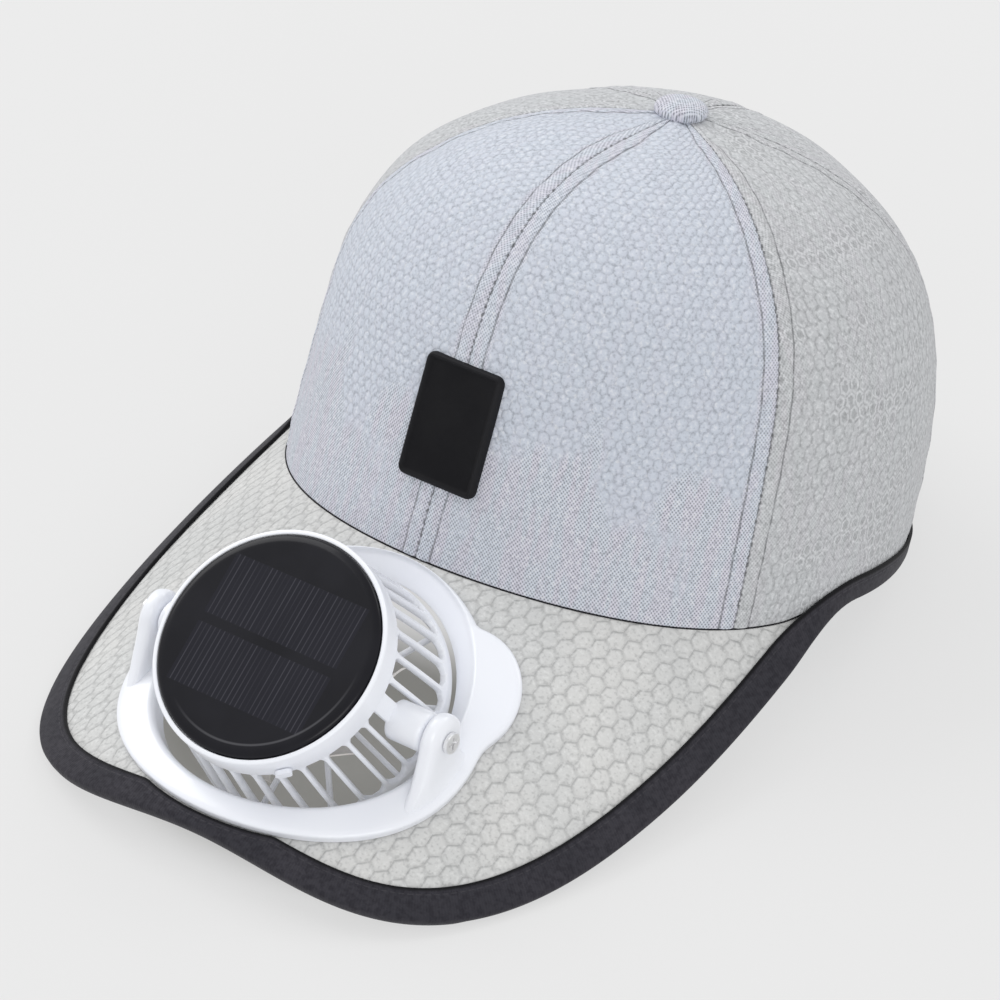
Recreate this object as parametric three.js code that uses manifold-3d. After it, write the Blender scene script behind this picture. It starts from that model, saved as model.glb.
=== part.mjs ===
// A baseball cap of mesh cloth with a solar fan set in its brim, in millimetres, +Z up.
// It rests on a surface on its brim's sides and the back of its hem. The brim points along -Y.
import * as THREE from 'three';
import { mergeVertices } from 'three/addons/utils/BufferGeometryUtils.js';
import Module from 'manifold-3d';

const wasm = await Module();
wasm.setup();

// Clearances
const seat_gap = 0.3; // between pieces that touch on the real cap
const seam_gap = 0.3; // between two cloth panels along a seam
const face_gap = 0.5; // between curved pieces whose flat faces don't lie side by side

// Crown: half sizes of the head opening, height over the hem, and how far the top sits behind the middle
const head_half_width = 91;
const head_half_length = 90;
const crown_height = 117;
const crown_lean = 16;
const cloth_wall = 1.4;
const panel_bulge = 0.9; // how far a panel's middle stands out of its seams

// Reach of the crown from its middle line at each height, as shares of the sizes above
const crown_sections = [
  { height: 0.0, front: 1.0, side: 1.0, back: 1.0 },
  { height: 0.2, front: 0.97, side: 1.0, back: 1.01 },
  { height: 0.4, front: 0.945, side: 0.988, back: 0.95 },
  { height: 0.58, front: 0.93, side: 0.946, back: 0.84 },
  { height: 0.73, front: 0.877, side: 0.845, back: 0.718 },
  { height: 0.85, front: 0.784, side: 0.66, back: 0.578 },
  { height: 0.93, front: 0.652, side: 0.449, back: 0.42 },
  { height: 0.98, front: 0.429, side: 0.21, back: 0.224 },
  { height: 1.0, front: 0.0, side: 0.0, back: 0.0 },
];
const crown_top = 0.98; // share of a meridian where the panels end, under the button

// Brim: a bent board that falls forward from the crown, with its sides bent down on a circle
const brim_length = 89.8;
const brim_half_width = 94.8;
const brim_thickness = 2.6;
const brim_root_height = 9;
const brim_slope = THREE.MathUtils.degToRad(26.4);
const brim_sag = 8; // how much lower its front edge lies than a straight board's
const brim_bend_radius = 130;
const brim_root_angle = THREE.MathUtils.degToRad(78); // where it leaves the crown, from the front
const brim_corner = 3.3; // exponent of its outline: 2 is an ellipse, more is squarer
const brim_end_width = 3; // how far its two ends stand out of the crown
const brim_tuck = 3; // how far it reaches under the crown's wall

// Edge tape, folded round the brim's edge and the hem
const tape_wall = 0.8;
const tape_width = 6;
const hem_tape_start = THREE.MathUtils.degToRad(80); // just behind the brim's end
const hem_tape_height = 7.5;
const hem_tape_back_height = 3.2;
const hem_press = 1.2; // how far its own weight flattens the hem on the surface
const brim_press = 0.4;

// Label: a bare rubber patch on the front seam
const label_width = 26;
const label_height = 36;
const label_thickness = 1.6;
const label_corner = 2.5;
const label_middle_height = 47;

// Button on top
const button_radius = 7.8;
const button_height = 4.4;
const button_stem_radius = 1.2;
const button_stem_length = 4;

// Fan pivot, on the cap's middle line
const pivot_share = 0.5568; // how far along the brim it lies, as a share of the brim's length
const pivot_forward = head_half_length + pivot_share * brim_length;
const pivot_above_brim = 7.1;
const fan_tilt = THREE.MathUtils.degToRad(48); // the fan's axis leans forward by this much

// Fan frame: a plate laid on the brim, with a funnel down through it and two ears that carry the pivot
const guard_radius = 38.2; // of the fan's guard ring, which all of the frame is laid round
const mouth_side_room = 5.8;
const mouth_end_room = 0.3;
const mouth_half_width = guard_radius + mouth_side_room;
const mouth_half_length = guard_radius + mouth_end_room;
const mouth_behind_pivot = 8.5;
const mouth_forward = pivot_forward - mouth_behind_pivot;
const throat_side_inset = 2.5;
const throat_end_inset = 2.5;
const throat_half_width = mouth_half_width - throat_side_inset;
const throat_half_length = mouth_half_length - throat_end_inset;
const throat_ahead = 2.5; // of the mouth, because the fan leans forward
const throat_forward = mouth_forward + throat_ahead;
const plate_side_rim = 10;
const plate_end_rim = 3.6;
const plate_half_width = mouth_half_width + plate_side_rim;
const plate_half_length = mouth_half_length + plate_end_rim;
const plate_ahead = 3; // of the mouth
const plate_forward = mouth_forward + plate_ahead;
const plate_thickness = 2.8;
const funnel_wall = 1.5;
const funnel_depth = 2.4; // below the brim's top
const lobe_side = 37.5;
const lobe_behind_pivot = 25;
const lobe_forward = pivot_forward - lobe_behind_pivot;
const lobe_radius = 16.4;
const ear_room = 7.8; // between the guard and an ear
const ear_inner = guard_radius + ear_room;
const ear_thickness = 5.8;
const ear_radius = 7;
const ear_base = 22;
const screw_radius = 1.5;
const screw_head_radius = 3;
const screw_head_height = 1.2;
const screw_slot = 0.7;
const screw_length = 9.5;

// Fan housing, along its own axis from the pivot
const bezel_radius = 34.6;
const bezel_top = 20.9;
const skirt_bottom = 13;
const skirt_wall = 1.6;
const recess_floor = 19;
const recess_radius = 33.1;
const cap_underside = 16.6;
const motor_radius = 7.4;
const motor_bottom = 4.2;
const shaft_radius = 1.2;
const shaft_bottom = -8.6;
const guard_wall = 2.2;
const guard_top = -14.6;
const guard_bottom = -19.2;
const rib_count = 30;
const rib_width = 1.5;
const rib_depth = 2.2;
const rib_bow = 0.2;
const rib_root = 1.5; // how far a rib runs into the skirt, and less into the guard
const spoke_count = 10;
const spoke_width = 1.6;
const spoke_height = 1.6;
const boss_radius = 8;
const rail_width = 6;
const trunnion_radius = 5.8;
const trunnion_web = 2; // solid behind the screw's hole
const trunnion_reach = ear_inner - seat_gap;

// Solar panel: a disc with a domed rim, let into the cap
const panel_radius = recess_radius - seat_gap;
const panel_flat_radius = 30;
const panel_edge_height = 1.7;
const panel_thickness = 2.8;

// Rotor
const rotor_clearance = 0.8; // to the motor that the hub's cup turns round
const hub_wall = 1.3;
const hub_radius = motor_radius + rotor_clearance + hub_wall;
const hub_top = 12.4;
const hub_bottom = -11;
const hub_cap = 1.2;
const blade_count = 7;
const blade_reach = 31;
const blade_wall = 1.2;
const blade_top = 11;
const blade_drop = 13.5;
const blade_sweep = THREE.MathUtils.degToRad(34);

// Power button on the skirt
const nub_length = 4.8;
const nub_height = 2.7;
const nub_depth = 1.4;
const nub_turn = THREE.MathUtils.degToRad(35); // from the front towards the wearer's left

// Numbers of faces
const panel_columns = 9;
const panel_rows = 8;
const brim_columns = 38;
const brim_rows = 5;
const brim_row_crowding = 1.6; // above 1 sets the rows closer together towards the brim's edge
const hem_columns = 30; // in step with the panels' columns, so that flat faces lie side by side
const frame_columns = 46;
const round_columns = 48;

// Finishes
const finishes = {
  front_mesh: new THREE.MeshStandardMaterial({ color: 0xc3c8d2, roughness: 0.9 }),
  side_mesh: new THREE.MeshStandardMaterial({ color: 0xbcbec0, roughness: 0.9 }),
  brim_mesh: new THREE.MeshStandardMaterial({ color: 0xd0d1cd, roughness: 0.9 }),
  edge_tape: new THREE.MeshStandardMaterial({ color: 0x3a3940, roughness: 0.85 }),
  rubber: new THREE.MeshStandardMaterial({ color: 0x1c1c20, roughness: 0.6 }),
  white_plastic: new THREE.MeshStandardMaterial({ color: 0xf2f4fb, roughness: 0.3 }),
  fan_plastic: new THREE.MeshStandardMaterial({ color: 0xd6d2cc, roughness: 0.45 }),
  solar_glass: new THREE.MeshStandardMaterial({ color: 0x141416, roughness: 0.15 }),
  steel: new THREE.MeshStandardMaterial({ color: 0x8c8d90, roughness: 0.35, metalness: 1 }),
};

// Bodies

// A mesh geometry from points and triangle corners, turned so that its faces point out.
function closed_geometry(points, corners) {
  let volume = 0;
  const normal = new THREE.Vector3();
  for (let k = 0; k < corners.length; k += 3) {
    const [a, b, c] = [points[corners[k]], points[corners[k + 1]], points[corners[k + 2]]];
    volume += normal.crossVectors(b, c).dot(a);
  }
  const facing = volume < 0 ? corners.slice().reverse() : corners;
  const geometry = new THREE.BufferGeometry();
  geometry.setAttribute('position', new THREE.Float32BufferAttribute(points.flatMap((p) => p.toArray()), 3));
  geometry.setIndex(facing);
  geometry.computeVertexNormals();
  return geometry;
}

// A wall between two grids of points, outer(u, v) and inner(u, v), with u and v from 0 to 1.
function wall_geometry(columns, rows, outer, inner) {
  const points = [];
  for (const side of [outer, inner]) {
    for (let i = 0; i <= columns; i += 1) {
      for (let j = 0; j <= rows; j += 1) points.push(side(i / columns, j / rows));
    }
  }
  const at = (side, i, j) => (side * (columns + 1) + i) * (rows + 1) + j;
  const corners = [];
  const quad = (a, b, c, d) => corners.push(a, b, c, a, c, d);
  for (let i = 0; i < columns; i += 1) {
    for (let j = 0; j < rows; j += 1) {
      quad(at(0, i, j), at(0, i + 1, j), at(0, i + 1, j + 1), at(0, i, j + 1));
      quad(at(1, i, j), at(1, i, j + 1), at(1, i + 1, j + 1), at(1, i + 1, j));
    }
    quad(at(0, i + 1, 0), at(0, i, 0), at(1, i, 0), at(1, i + 1, 0));
    quad(at(0, i, rows), at(0, i + 1, rows), at(1, i + 1, rows), at(1, i, rows));
  }
  for (let j = 0; j < rows; j += 1) {
    quad(at(0, 0, j), at(0, 0, j + 1), at(1, 0, j + 1), at(1, 0, j));
    quad(at(0, columns, j + 1), at(0, columns, j), at(1, columns, j), at(1, columns, j + 1));
  }
  return closed_geometry(points, corners);
}

// A closed ring through a list of sections, each a polygon of as many points.
function ring_geometry(sections) {
  const count = sections[0].length;
  const corners = [];
  sections.forEach((section, i) => {
    const next = (i + 1) % sections.length;
    section.forEach((point, k) => {
      const [a, b] = [i * count + k, i * count + ((k + 1) % count)];
      const [c, d] = [next * count + ((k + 1) % count), next * count + k];
      corners.push(a, b, c, a, c, d);
    });
  });
  return closed_geometry(sections.flat(), corners);
}

function solid_of(geometry) {
  const bare = geometry.index ? geometry.clone() : mergeVertices(geometry);
  bare.deleteAttribute('normal');
  if (bare.getAttribute('uv')) bare.deleteAttribute('uv');
  const merged = mergeVertices(bare, 1e-4);
  const mesh = new wasm.Mesh({
    numProp: 3,
    vertProperties: new Float32Array(merged.getAttribute('position').array),
    triVerts: new Uint32Array(merged.index.array),
  });
  return new wasm.Manifold(mesh);
}

function geometry_of(solid) {
  const mesh = solid.getMesh();
  const geometry = new THREE.BufferGeometry();
  geometry.setAttribute('position', new THREE.BufferAttribute(mesh.vertProperties, 3));
  geometry.setIndex(new THREE.BufferAttribute(mesh.triVerts, 1));
  geometry.computeVertexNormals();
  return geometry;
}

function joined(geometries) {
  return geometries.map(solid_of).reduce((sum, solid) => sum.add(solid));
}

function lathe(profile, segments = round_columns) {
  const points = profile.map(([r, z]) => new THREE.Vector2(r, z));
  const geometry = new THREE.LatheGeometry(points, segments);
  geometry.rotateX(Math.PI / 2);
  return geometry;
}

function closed_lathe(profile, segments = round_columns) {
  return lathe([...profile, profile[0]], segments);
}

// A cylinder along X between two places.
function cross_cylinder(radius, from, to, segments = 16) {
  const geometry = new THREE.CylinderGeometry(radius, radius, to - from, segments);
  geometry.rotateZ(Math.PI / 2);
  geometry.translate((from + to) / 2, 0, 0);
  return geometry;
}

// Brim surface

function brim_height(x, y) {
  const forward = -y - head_half_length;
  const droop = brim_bend_radius - Math.sqrt(brim_bend_radius ** 2 - x * x);
  const sag = brim_sag * (forward / brim_length) ** 2;
  return brim_root_height - Math.tan(brim_slope) * forward - sag - droop;
}
const pivot_height = brim_height(0, -pivot_forward) + pivot_above_brim;

// The point at a height above the brim's top face, measured square to that face.
function brim_point(x, y, above) {
  const forward = -y - head_half_length;
  const across = x / Math.sqrt(brim_bend_radius ** 2 - x * x);
  const along = -Math.tan(brim_slope) - (2 * brim_sag * forward) / brim_length ** 2;
  const normal = new THREE.Vector3(across, along, 1).normalize();
  return new THREE.Vector3(x, y, brim_height(x, y)).addScaledVector(normal, above);
}

// The brim's plan outline: a superellipse round the crown, widening from the crown's own width.
class BrimOutline extends THREE.Curve {
  getPoint(t, target = new THREE.Vector3()) {
    const turn = (t - 0.5) * Math.PI;
    const forth = Math.abs(Math.cos(turn)) ** (2 / brim_corner);
    const side = Math.sign(turn) * Math.abs(Math.sin(turn)) ** (2 / brim_corner);
    const end_width = head_half_width * Math.sin(brim_root_angle) + brim_end_width;
    const widen = Math.min(1, forth / 0.45);
    const half_width = end_width + (brim_half_width - end_width) * widen * (2 - widen);
    const root_y = -head_half_length * Math.cos(brim_root_angle);
    const reach = brim_length + head_half_length + root_y;
    return target.set(half_width * side, root_y - reach * forth, 0);
  }
}
const brim_outline = new BrimOutline();
brim_outline.arcLengthDivisions = 800;

// Outline point and its outward direction in plan, at a share of the outline's length.
function brim_edge(share) {
  const point = brim_outline.getPointAt(share);
  const tangent = brim_outline.getTangentAt(THREE.MathUtils.clamp(share, 0.001, 0.999));
  return { point, outward: new THREE.Vector3(tangent.y, -tangent.x, 0) };
}

// Crown surface

const crown_columns = {};
for (const name of ['height', 'front', 'side', 'back']) {
  const rows = crown_sections.map((section, i) => new THREE.Vector2(i, section[name]));
  crown_columns[name] = new THREE.SplineCurve(rows);
}
const crown_share = (name, rise) => crown_columns[name].getPoint(rise).y;

function crown_base(angle) {
  return new THREE.Vector2(head_half_width * Math.sin(angle), -head_half_length * Math.cos(angle));
}

// The hem's lower line before it rests on anything: along the brim's root, then down to the back.
function free_hem_height(angle) {
  const base = crown_base(Math.min(Math.abs(angle), brim_root_angle));
  const root = brim_height(base.x, base.y);
  if (Math.abs(angle) <= brim_root_angle) return root;
  const past = (Math.abs(angle) - brim_root_angle) / (Math.PI - brim_root_angle);
  return root * (1 - past) ** 2;
}

// The cap pitches back about X until the brim's edge and the back of its hem reach one surface.
function resting_pitch() {
  const edge_points = [];
  const outside = face_gap + tape_wall;
  for (let i = 0; i <= 100; i += 1) {
    const { point, outward } = brim_edge(i / 100);
    point.addScaledVector(outward, outside * 0.6);
    edge_points.push(brim_point(point.x, point.y, -brim_thickness - outside * 0.6));
  }
  const hem_y = head_half_length + outside;
  const lead = (pitch) => {
    const height = (p) => -p.y * Math.sin(pitch) + p.z * Math.cos(pitch);
    return Math.min(...edge_points.map(height)) + hem_y * Math.sin(pitch);
  };
  let [low, high] = [0, Math.PI / 4];
  for (let step = 0; step < 40; step += 1) {
    const middle = (low + high) / 2;
    if (lead(middle) < 0) low = middle;
    else high = middle;
  }
  return { pitch: low, level: -hem_y * Math.sin(low) };
}
const rest = resting_pitch();

// Height of the surface it rests on, in the cap's own upright frame, under a place at y.
function surface_height(y, press) {
  return (rest.level + press + y * Math.sin(rest.pitch)) / Math.cos(rest.pitch);
}

function hem_height(angle) {
  return Math.max(free_hem_height(angle), surface_height(crown_base(angle).y, hem_press));
}

// The lower edge of the crown's wall: on the brim in front, inside the hem's tape behind it.
function wall_foot(angle, x, y) {
  const turn_in = THREE.MathUtils.degToRad(8);
  const past = THREE.MathUtils.smoothstep(Math.abs(angle), brim_root_angle - turn_in, brim_root_angle - turn_in / 4);
  const lift = face_gap + past * tape_wall;
  const on_brim = Math.abs(angle) <= hem_tape_start + 0.01;
  return (on_brim ? Math.max(brim_height(x, y), hem_height(angle)) : hem_height(angle)) + lift;
}

function crown_surface(angle, rise) {
  const forth = Math.cos(angle);
  const front = Math.max(forth, 0) ** 2;
  const back = Math.max(-forth, 0) ** 2;
  const side = 1 - front - back;
  const reach = front * crown_share('front', rise) + side * crown_share('side', rise) + back * crown_share('back', rise);
  const height = crown_share('height', rise);
  const base = crown_base(angle);
  const foot = free_hem_height(angle);
  const z = foot + (crown_height - foot) * height;
  return new THREE.Vector3(base.x * reach, base.y * reach + crown_lean * height, z);
}

function crown_normal(angle, rise) {
  const step = 0.002;
  const low = Math.max(rise - step, 0);
  const across = crown_surface(angle + step, rise).sub(crown_surface(angle - step, rise));
  const along = crown_surface(angle, rise + step).sub(crown_surface(angle, low));
  return across.cross(along).normalize();
}

// A point of the crown, out of its surface by some distance, with each panel bulging between its seams.
function crown_point(angle, rise, out) {
  const panel_share = (Math.abs(angle) % panel_angle) / panel_angle;
  const bulge = panel_bulge * Math.sin(Math.PI * panel_share) * Math.sin(Math.PI * Math.min(rise, 1));
  return crown_surface(angle, rise).addScaledVector(crown_normal(angle, rise), out + bulge);
}

// The share of a meridian at which the crown reaches a height.
function rise_at(angle, z) {
  let [low, high] = [0, 1];
  for (let step = 0; step < 24; step += 1) {
    const middle = (low + high) / 2;
    if (crown_surface(angle, middle).z < z) low = middle;
    else high = middle;
  }
  return low;
}

// Cloth

const panel_angle = Math.PI / 3;

// Half of the gap along a seam, as an angle round the crown.
function seam_trim(seam, rise) {
  const step = 0.01;
  const arc = crown_surface(seam + step, rise).distanceTo(crown_surface(seam - step, rise));
  return (seam_gap * 0.7 * 2 * step) / arc;
}

// One of the six panels, from one seam to the next, between the hem and the button.
function crown_panel(start) {
  const wall_point = (u, v, depth) => {
    const middle = start + u * panel_angle;
    const base = crown_base(middle);
    const foot_rise = rise_at(middle, wall_foot(middle, base.x, base.y));
    const rise = THREE.MathUtils.lerp(foot_rise, crown_top, v);
    const from = start + seam_trim(start, rise);
    const to = start + panel_angle - seam_trim(start + panel_angle, rise);
    const angle = THREE.MathUtils.lerp(from, to, u);
    const point = crown_point(angle, rise, -depth);
    if (v === 0) point.z = wall_foot(angle, point.x, point.y);
    return point;
  };
  const outer = (u, v) => wall_point(u, v, 0);
  const inner = (u, v) => wall_point(u, v, cloth_wall);
  return wall_geometry(panel_columns, panel_rows, outer, inner);
}

function top_button() {
  const profile = [
    [0, -button_stem_length],
    [button_stem_radius, -button_stem_length],
    [button_stem_radius, face_gap],
    [button_radius * 0.9, face_gap],
    [button_radius, face_gap * 1.5],
    [button_radius * 0.95, button_height * 0.35],
    [button_radius * 0.75, button_height * 0.72],
    [button_radius * 0.4, button_height * 0.95],
    [0, button_height],
  ];
  const geometry = lathe(profile, 18);
  return geometry.translate(0, crown_lean, crown_height);
}

// The brim's board, from under the crown to its edge, with an oval hole that clears the fan's funnel.
function brim_board() {
  const face = (u, v, above) => {
    const edge = brim_outline.getPointAt(u);
    const root = crown_base((2 * u - 1) * brim_root_angle);
    root.multiplyScalar(1 - (cloth_wall + brim_tuck) / root.length());
    const share = 1 - (1 - v) ** brim_row_crowding;
    const x = THREE.MathUtils.lerp(root.x, edge.x, share);
    const y = THREE.MathUtils.lerp(root.y, edge.y, share);
    return brim_point(x, y, above);
  };
  const board = wall_geometry(brim_columns, brim_rows, (u, v) => face(u, v, 0), (u, v) => face(u, v, -brim_thickness));
  const clear = funnel_wall + face_gap;
  const oval = new THREE.Shape();
  oval.absellipse(0, -mouth_forward, mouth_half_width + clear, mouth_half_length + clear, 0, 2 * Math.PI);
  const tall = crown_height;
  const cutter = new THREE.ExtrudeGeometry(oval, { depth: 2 * tall, bevelEnabled: false, curveSegments: 28 });
  cutter.translate(0, 0, -tall);
  return geometry_of(solid_of(board).subtract(solid_of(cutter)));
}

// Tape folded round the brim's edge: two legs and a rounded fold, narrower where the crown is near.
function brim_tape() {
  const fold = (u, v, out) => {
    const { point, outward } = brim_edge(u);
    const crown = crown_base((2 * u - 1) * brim_root_angle);
    const room = Math.hypot(point.x - crown.x, point.y - crown.y) - face_gap;
    const across = Math.min(1, Math.abs(point.x) / plate_half_width);
    const plate_front = plate_forward + plate_half_length * Math.sqrt(1 - across ** 2);
    const before_plate = -point.y - plate_front - 2 * seat_gap;
    const leg = Math.min(tape_width, room, across < 1 ? before_plate : room);
    const path = [
      [-leg, out],
      [out / 2, out],
      [out, 0],
      [out, -brim_thickness],
      [out / 2, -brim_thickness - out],
      [-leg, -brim_thickness - out],
    ];
    const [beyond, above] = path[Math.round(v * (path.length - 1))];
    const place = point.addScaledVector(outward, beyond);
    return brim_point(place.x, place.y, above);
  };
  const pressed = (p) => {
    p.z = Math.max(p.z, surface_height(p.y, brim_press));
    return p;
  };
  const outer = (u, v) => pressed(fold(u, v, face_gap + tape_wall));
  const inner = (u, v) => fold(u, v, face_gap);
  return wall_geometry(brim_columns, 5, outer, inner);
}

// Tape folded round the hem from one end of the brim round the back to the other.
function hem_tape() {
  const start = hem_tape_start;
  const fold = (u, v, out, raise) => {
    const angle = start + u * 2 * (Math.PI - start);
    const turned = angle > Math.PI ? angle - 2 * Math.PI : angle;
    const past = (Math.abs(turned) - start) / (Math.PI - start);
    const narrowing = THREE.MathUtils.smoothstep(past, 0.12, 0.55);
    const tall = THREE.MathUtils.lerp(hem_tape_height, hem_tape_back_height, narrowing);
    const far = cloth_wall + out;
    const path = [
      [out, tall],
      [out, raise + tape_wall * 0.4],
      [out - tape_wall * 0.5, raise],
      [-far + tape_wall * 0.5, raise],
      [-far, raise + tape_wall * 0.4],
      [-far, tall],
    ];
    const [beyond, above] = path[Math.round(v * (path.length - 1))];
    const z = hem_height(turned) + above;
    const point = crown_point(turned, rise_at(turned, z), 0);
    const normal = crown_normal(turned, rise_at(turned, z)).setZ(0).normalize();
    return point.addScaledVector(normal, beyond).setZ(z);
  };
  const outer = (u, v) => fold(u, v, face_gap + tape_wall, 0);
  const inner = (u, v) => fold(u, v, face_gap, tape_wall);
  return wall_geometry(hem_columns, 5, outer, inner);
}

// A flat-faced patch whose back follows the crown.
function front_label() {
  const outline = new THREE.Shape();
  const [w, h, r] = [label_width / 2, label_height / 2, label_corner];
  outline.moveTo(w - r, -h);
  outline.absarc(w - r, -h + r, r, -Math.PI / 2, 0);
  outline.absarc(w - r, h - r, r, 0, Math.PI / 2);
  outline.absarc(-w + r, h - r, r, Math.PI / 2, Math.PI);
  outline.absarc(-w + r, -h + r, r, Math.PI, 1.5 * Math.PI);
  const behind = 4;
  const block = new THREE.ExtrudeGeometry(outline, {
    depth: behind + face_gap + label_thickness,
    bevelEnabled: false,
    curveSegments: 4,
  });
  const rise = rise_at(0, label_middle_height);
  const centre = crown_surface(0, rise);
  const facing = crown_normal(0, rise);
  block.translate(0, 0, -behind);
  block.rotateX(Math.PI / 2 - Math.asin(facing.z));
  block.translate(centre.x, centre.y, centre.z);
  const spread = Math.PI / 12;
  const low = rise_at(0, label_middle_height - label_height);
  const high = rise_at(0, label_middle_height + label_height);
  const cut_point = (u, v, out) => crown_point((2 * u - 1) * spread, low + v * (high - low), out);
  const behind_cut = wall_geometry(8, 5, (u, v) => cut_point(u, v, face_gap), (u, v) => cut_point(u, v, -2 * behind));
  return geometry_of(solid_of(block).subtract(solid_of(behind_cut)));
}

// Fan frame

function oval_point(angle, half_width, half_length, forward) {
  return new THREE.Vector2(half_width * Math.cos(angle), half_length * Math.sin(angle) - forward);
}

// Where a ray from the mouth's middle last leaves an oval, as a distance along the ray.
function ray_reach(ray, half_width, half_length, x, forward) {
  const from = new THREE.Vector2(-x / half_width, (forward - mouth_forward) / half_length);
  const step = new THREE.Vector2(ray.x / half_width, ray.y / half_length);
  const [a, b, c] = [step.lengthSq(), from.dot(step), from.lengthSq() - 1];
  const root = b * b - a * c;
  return root < 0 ? 0 : (-b + Math.sqrt(root)) / a;
}

// The plate's section at an angle: outer edge, top face, rolled mouth, and the funnel's wall.
function frame_section(angle) {
  const mouth = oval_point(angle, mouth_half_width, mouth_half_length, mouth_forward);
  const throat = oval_point(angle, throat_half_width, throat_half_length, throat_forward);
  const ray = mouth.clone().add(new THREE.Vector2(0, mouth_forward)).normalize();
  const plate = ray_reach(ray, plate_half_width, plate_half_length, 0, plate_forward);
  const lobe = ray_reach(ray, lobe_radius, lobe_radius, lobe_side, lobe_forward);
  const edge = ray.clone().multiplyScalar(Math.max(plate, lobe)).sub(new THREE.Vector2(0, mouth_forward));
  const top = face_gap + plate_thickness;
  const bevel = plate_thickness * 0.35;
  const at = (place, out, above) => brim_point(place.x + ray.x * out, place.y + ray.y * out, above);
  return [
    at(edge, 0, face_gap),
    at(edge, 0, top - bevel),
    at(edge, -bevel, top),
    at(mouth, bevel, top),
    at(mouth, 0, top - bevel),
    at(throat, 0, -funnel_depth),
    at(throat, funnel_wall, -funnel_depth),
    at(mouth, funnel_wall, face_gap),
  ];
}

// A lug across X, its round top on the pivot and its foot in the plate.
function ear(side) {
  const foot = brim_height(ear_inner + ear_thickness, -pivot_forward) - pivot_height;
  const half = ear_base / 2;
  const lean = Math.asin(ear_radius / -foot);
  const outline = new THREE.Shape();
  outline.moveTo(-half, foot);
  outline.lineTo(half, foot);
  outline.absarc(0, 0, ear_radius, lean, Math.PI - lean);
  const lug = new THREE.ExtrudeGeometry(outline, { depth: ear_thickness, bevelEnabled: false, curveSegments: 12 });
  lug.rotateX(Math.PI / 2);
  lug.rotateZ(Math.PI / 2);
  lug.translate(side > 0 ? ear_inner : -ear_inner - ear_thickness, -pivot_forward, pivot_height);
  return lug;
}

function fan_frame() {
  const sections = [];
  for (let i = 0; i < frame_columns; i += 1) sections.push(frame_section((2 * Math.PI * i) / frame_columns));
  let frame = solid_of(ring_geometry(sections));
  for (const side of [1, -1]) {
    const reach = ear_base;
    const under = (u, v, above) => {
      const x = side * (ear_inner + (2 * u - 0.5) * ear_thickness);
      return brim_point(x, -pivot_forward + (2 * v - 1) * reach, above);
    };
    const below = wall_geometry(2, 6, (u, v) => under(u, v, face_gap), (u, v) => under(u, v, -ear_base));
    const bore = cross_cylinder(screw_radius + seat_gap, ear_inner - 1, ear_inner + ear_thickness + 1);
    if (side < 0) bore.rotateZ(Math.PI);
    bore.translate(0, -pivot_forward, pivot_height);
    const lug = solid_of(ear(side)).subtract(solid_of(below)).subtract(solid_of(bore));
    frame = frame.add(lug);
  }
  return geometry_of(frame);
}

// A screw through an ear into the housing, with a cross cut in its head.
function ear_screw(side) {
  const face = ear_inner + ear_thickness + seat_gap;
  const shank = cross_cylinder(screw_radius, face - screw_length, face + 0.1);
  const head = cross_cylinder(screw_head_radius, face, face + screw_head_height, 20);
  let screw = solid_of(shank).add(solid_of(head));
  for (const turn of [0, Math.PI / 2]) {
    const slot = new THREE.BoxGeometry(screw_head_height, screw_head_radius * 1.3, screw_slot);
    slot.rotateX(turn + Math.PI / 4);
    slot.translate(face + screw_head_height, 0, 0);
    screw = screw.subtract(solid_of(slot));
  }
  const geometry = geometry_of(screw);
  if (side < 0) geometry.rotateZ(Math.PI);
  return geometry;
}

// Fan, along +Z of its own frame, with the pivot at its origin

// A rib's middle line: out of the skirt, bowed, down to the guard ring.
function rib_radius(z) {
  const share = (skirt_bottom - z) / (skirt_bottom - guard_top);
  const start = bezel_radius - skirt_wall;
  const end = guard_radius - guard_wall / 2;
  return THREE.MathUtils.lerp(start, end, share) + rib_bow * Math.sin(Math.PI * share);
}

function rib(turn, width) {
  const [top, bottom] = [skirt_bottom + rib_root, guard_top - rib_root * 0.67];
  const at = (u, v, out) => {
    const z = THREE.MathUtils.lerp(top, bottom, v);
    const point = new THREE.Vector3(rib_radius(z) + out, (u - 0.5) * width, z);
    return point.applyAxisAngle(new THREE.Vector3(0, 0, 1), turn);
  };
  return wall_geometry(1, 2, (u, v) => at(u, v, rib_depth / 2), (u, v) => at(u, v, -rib_depth / 2));
}

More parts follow.
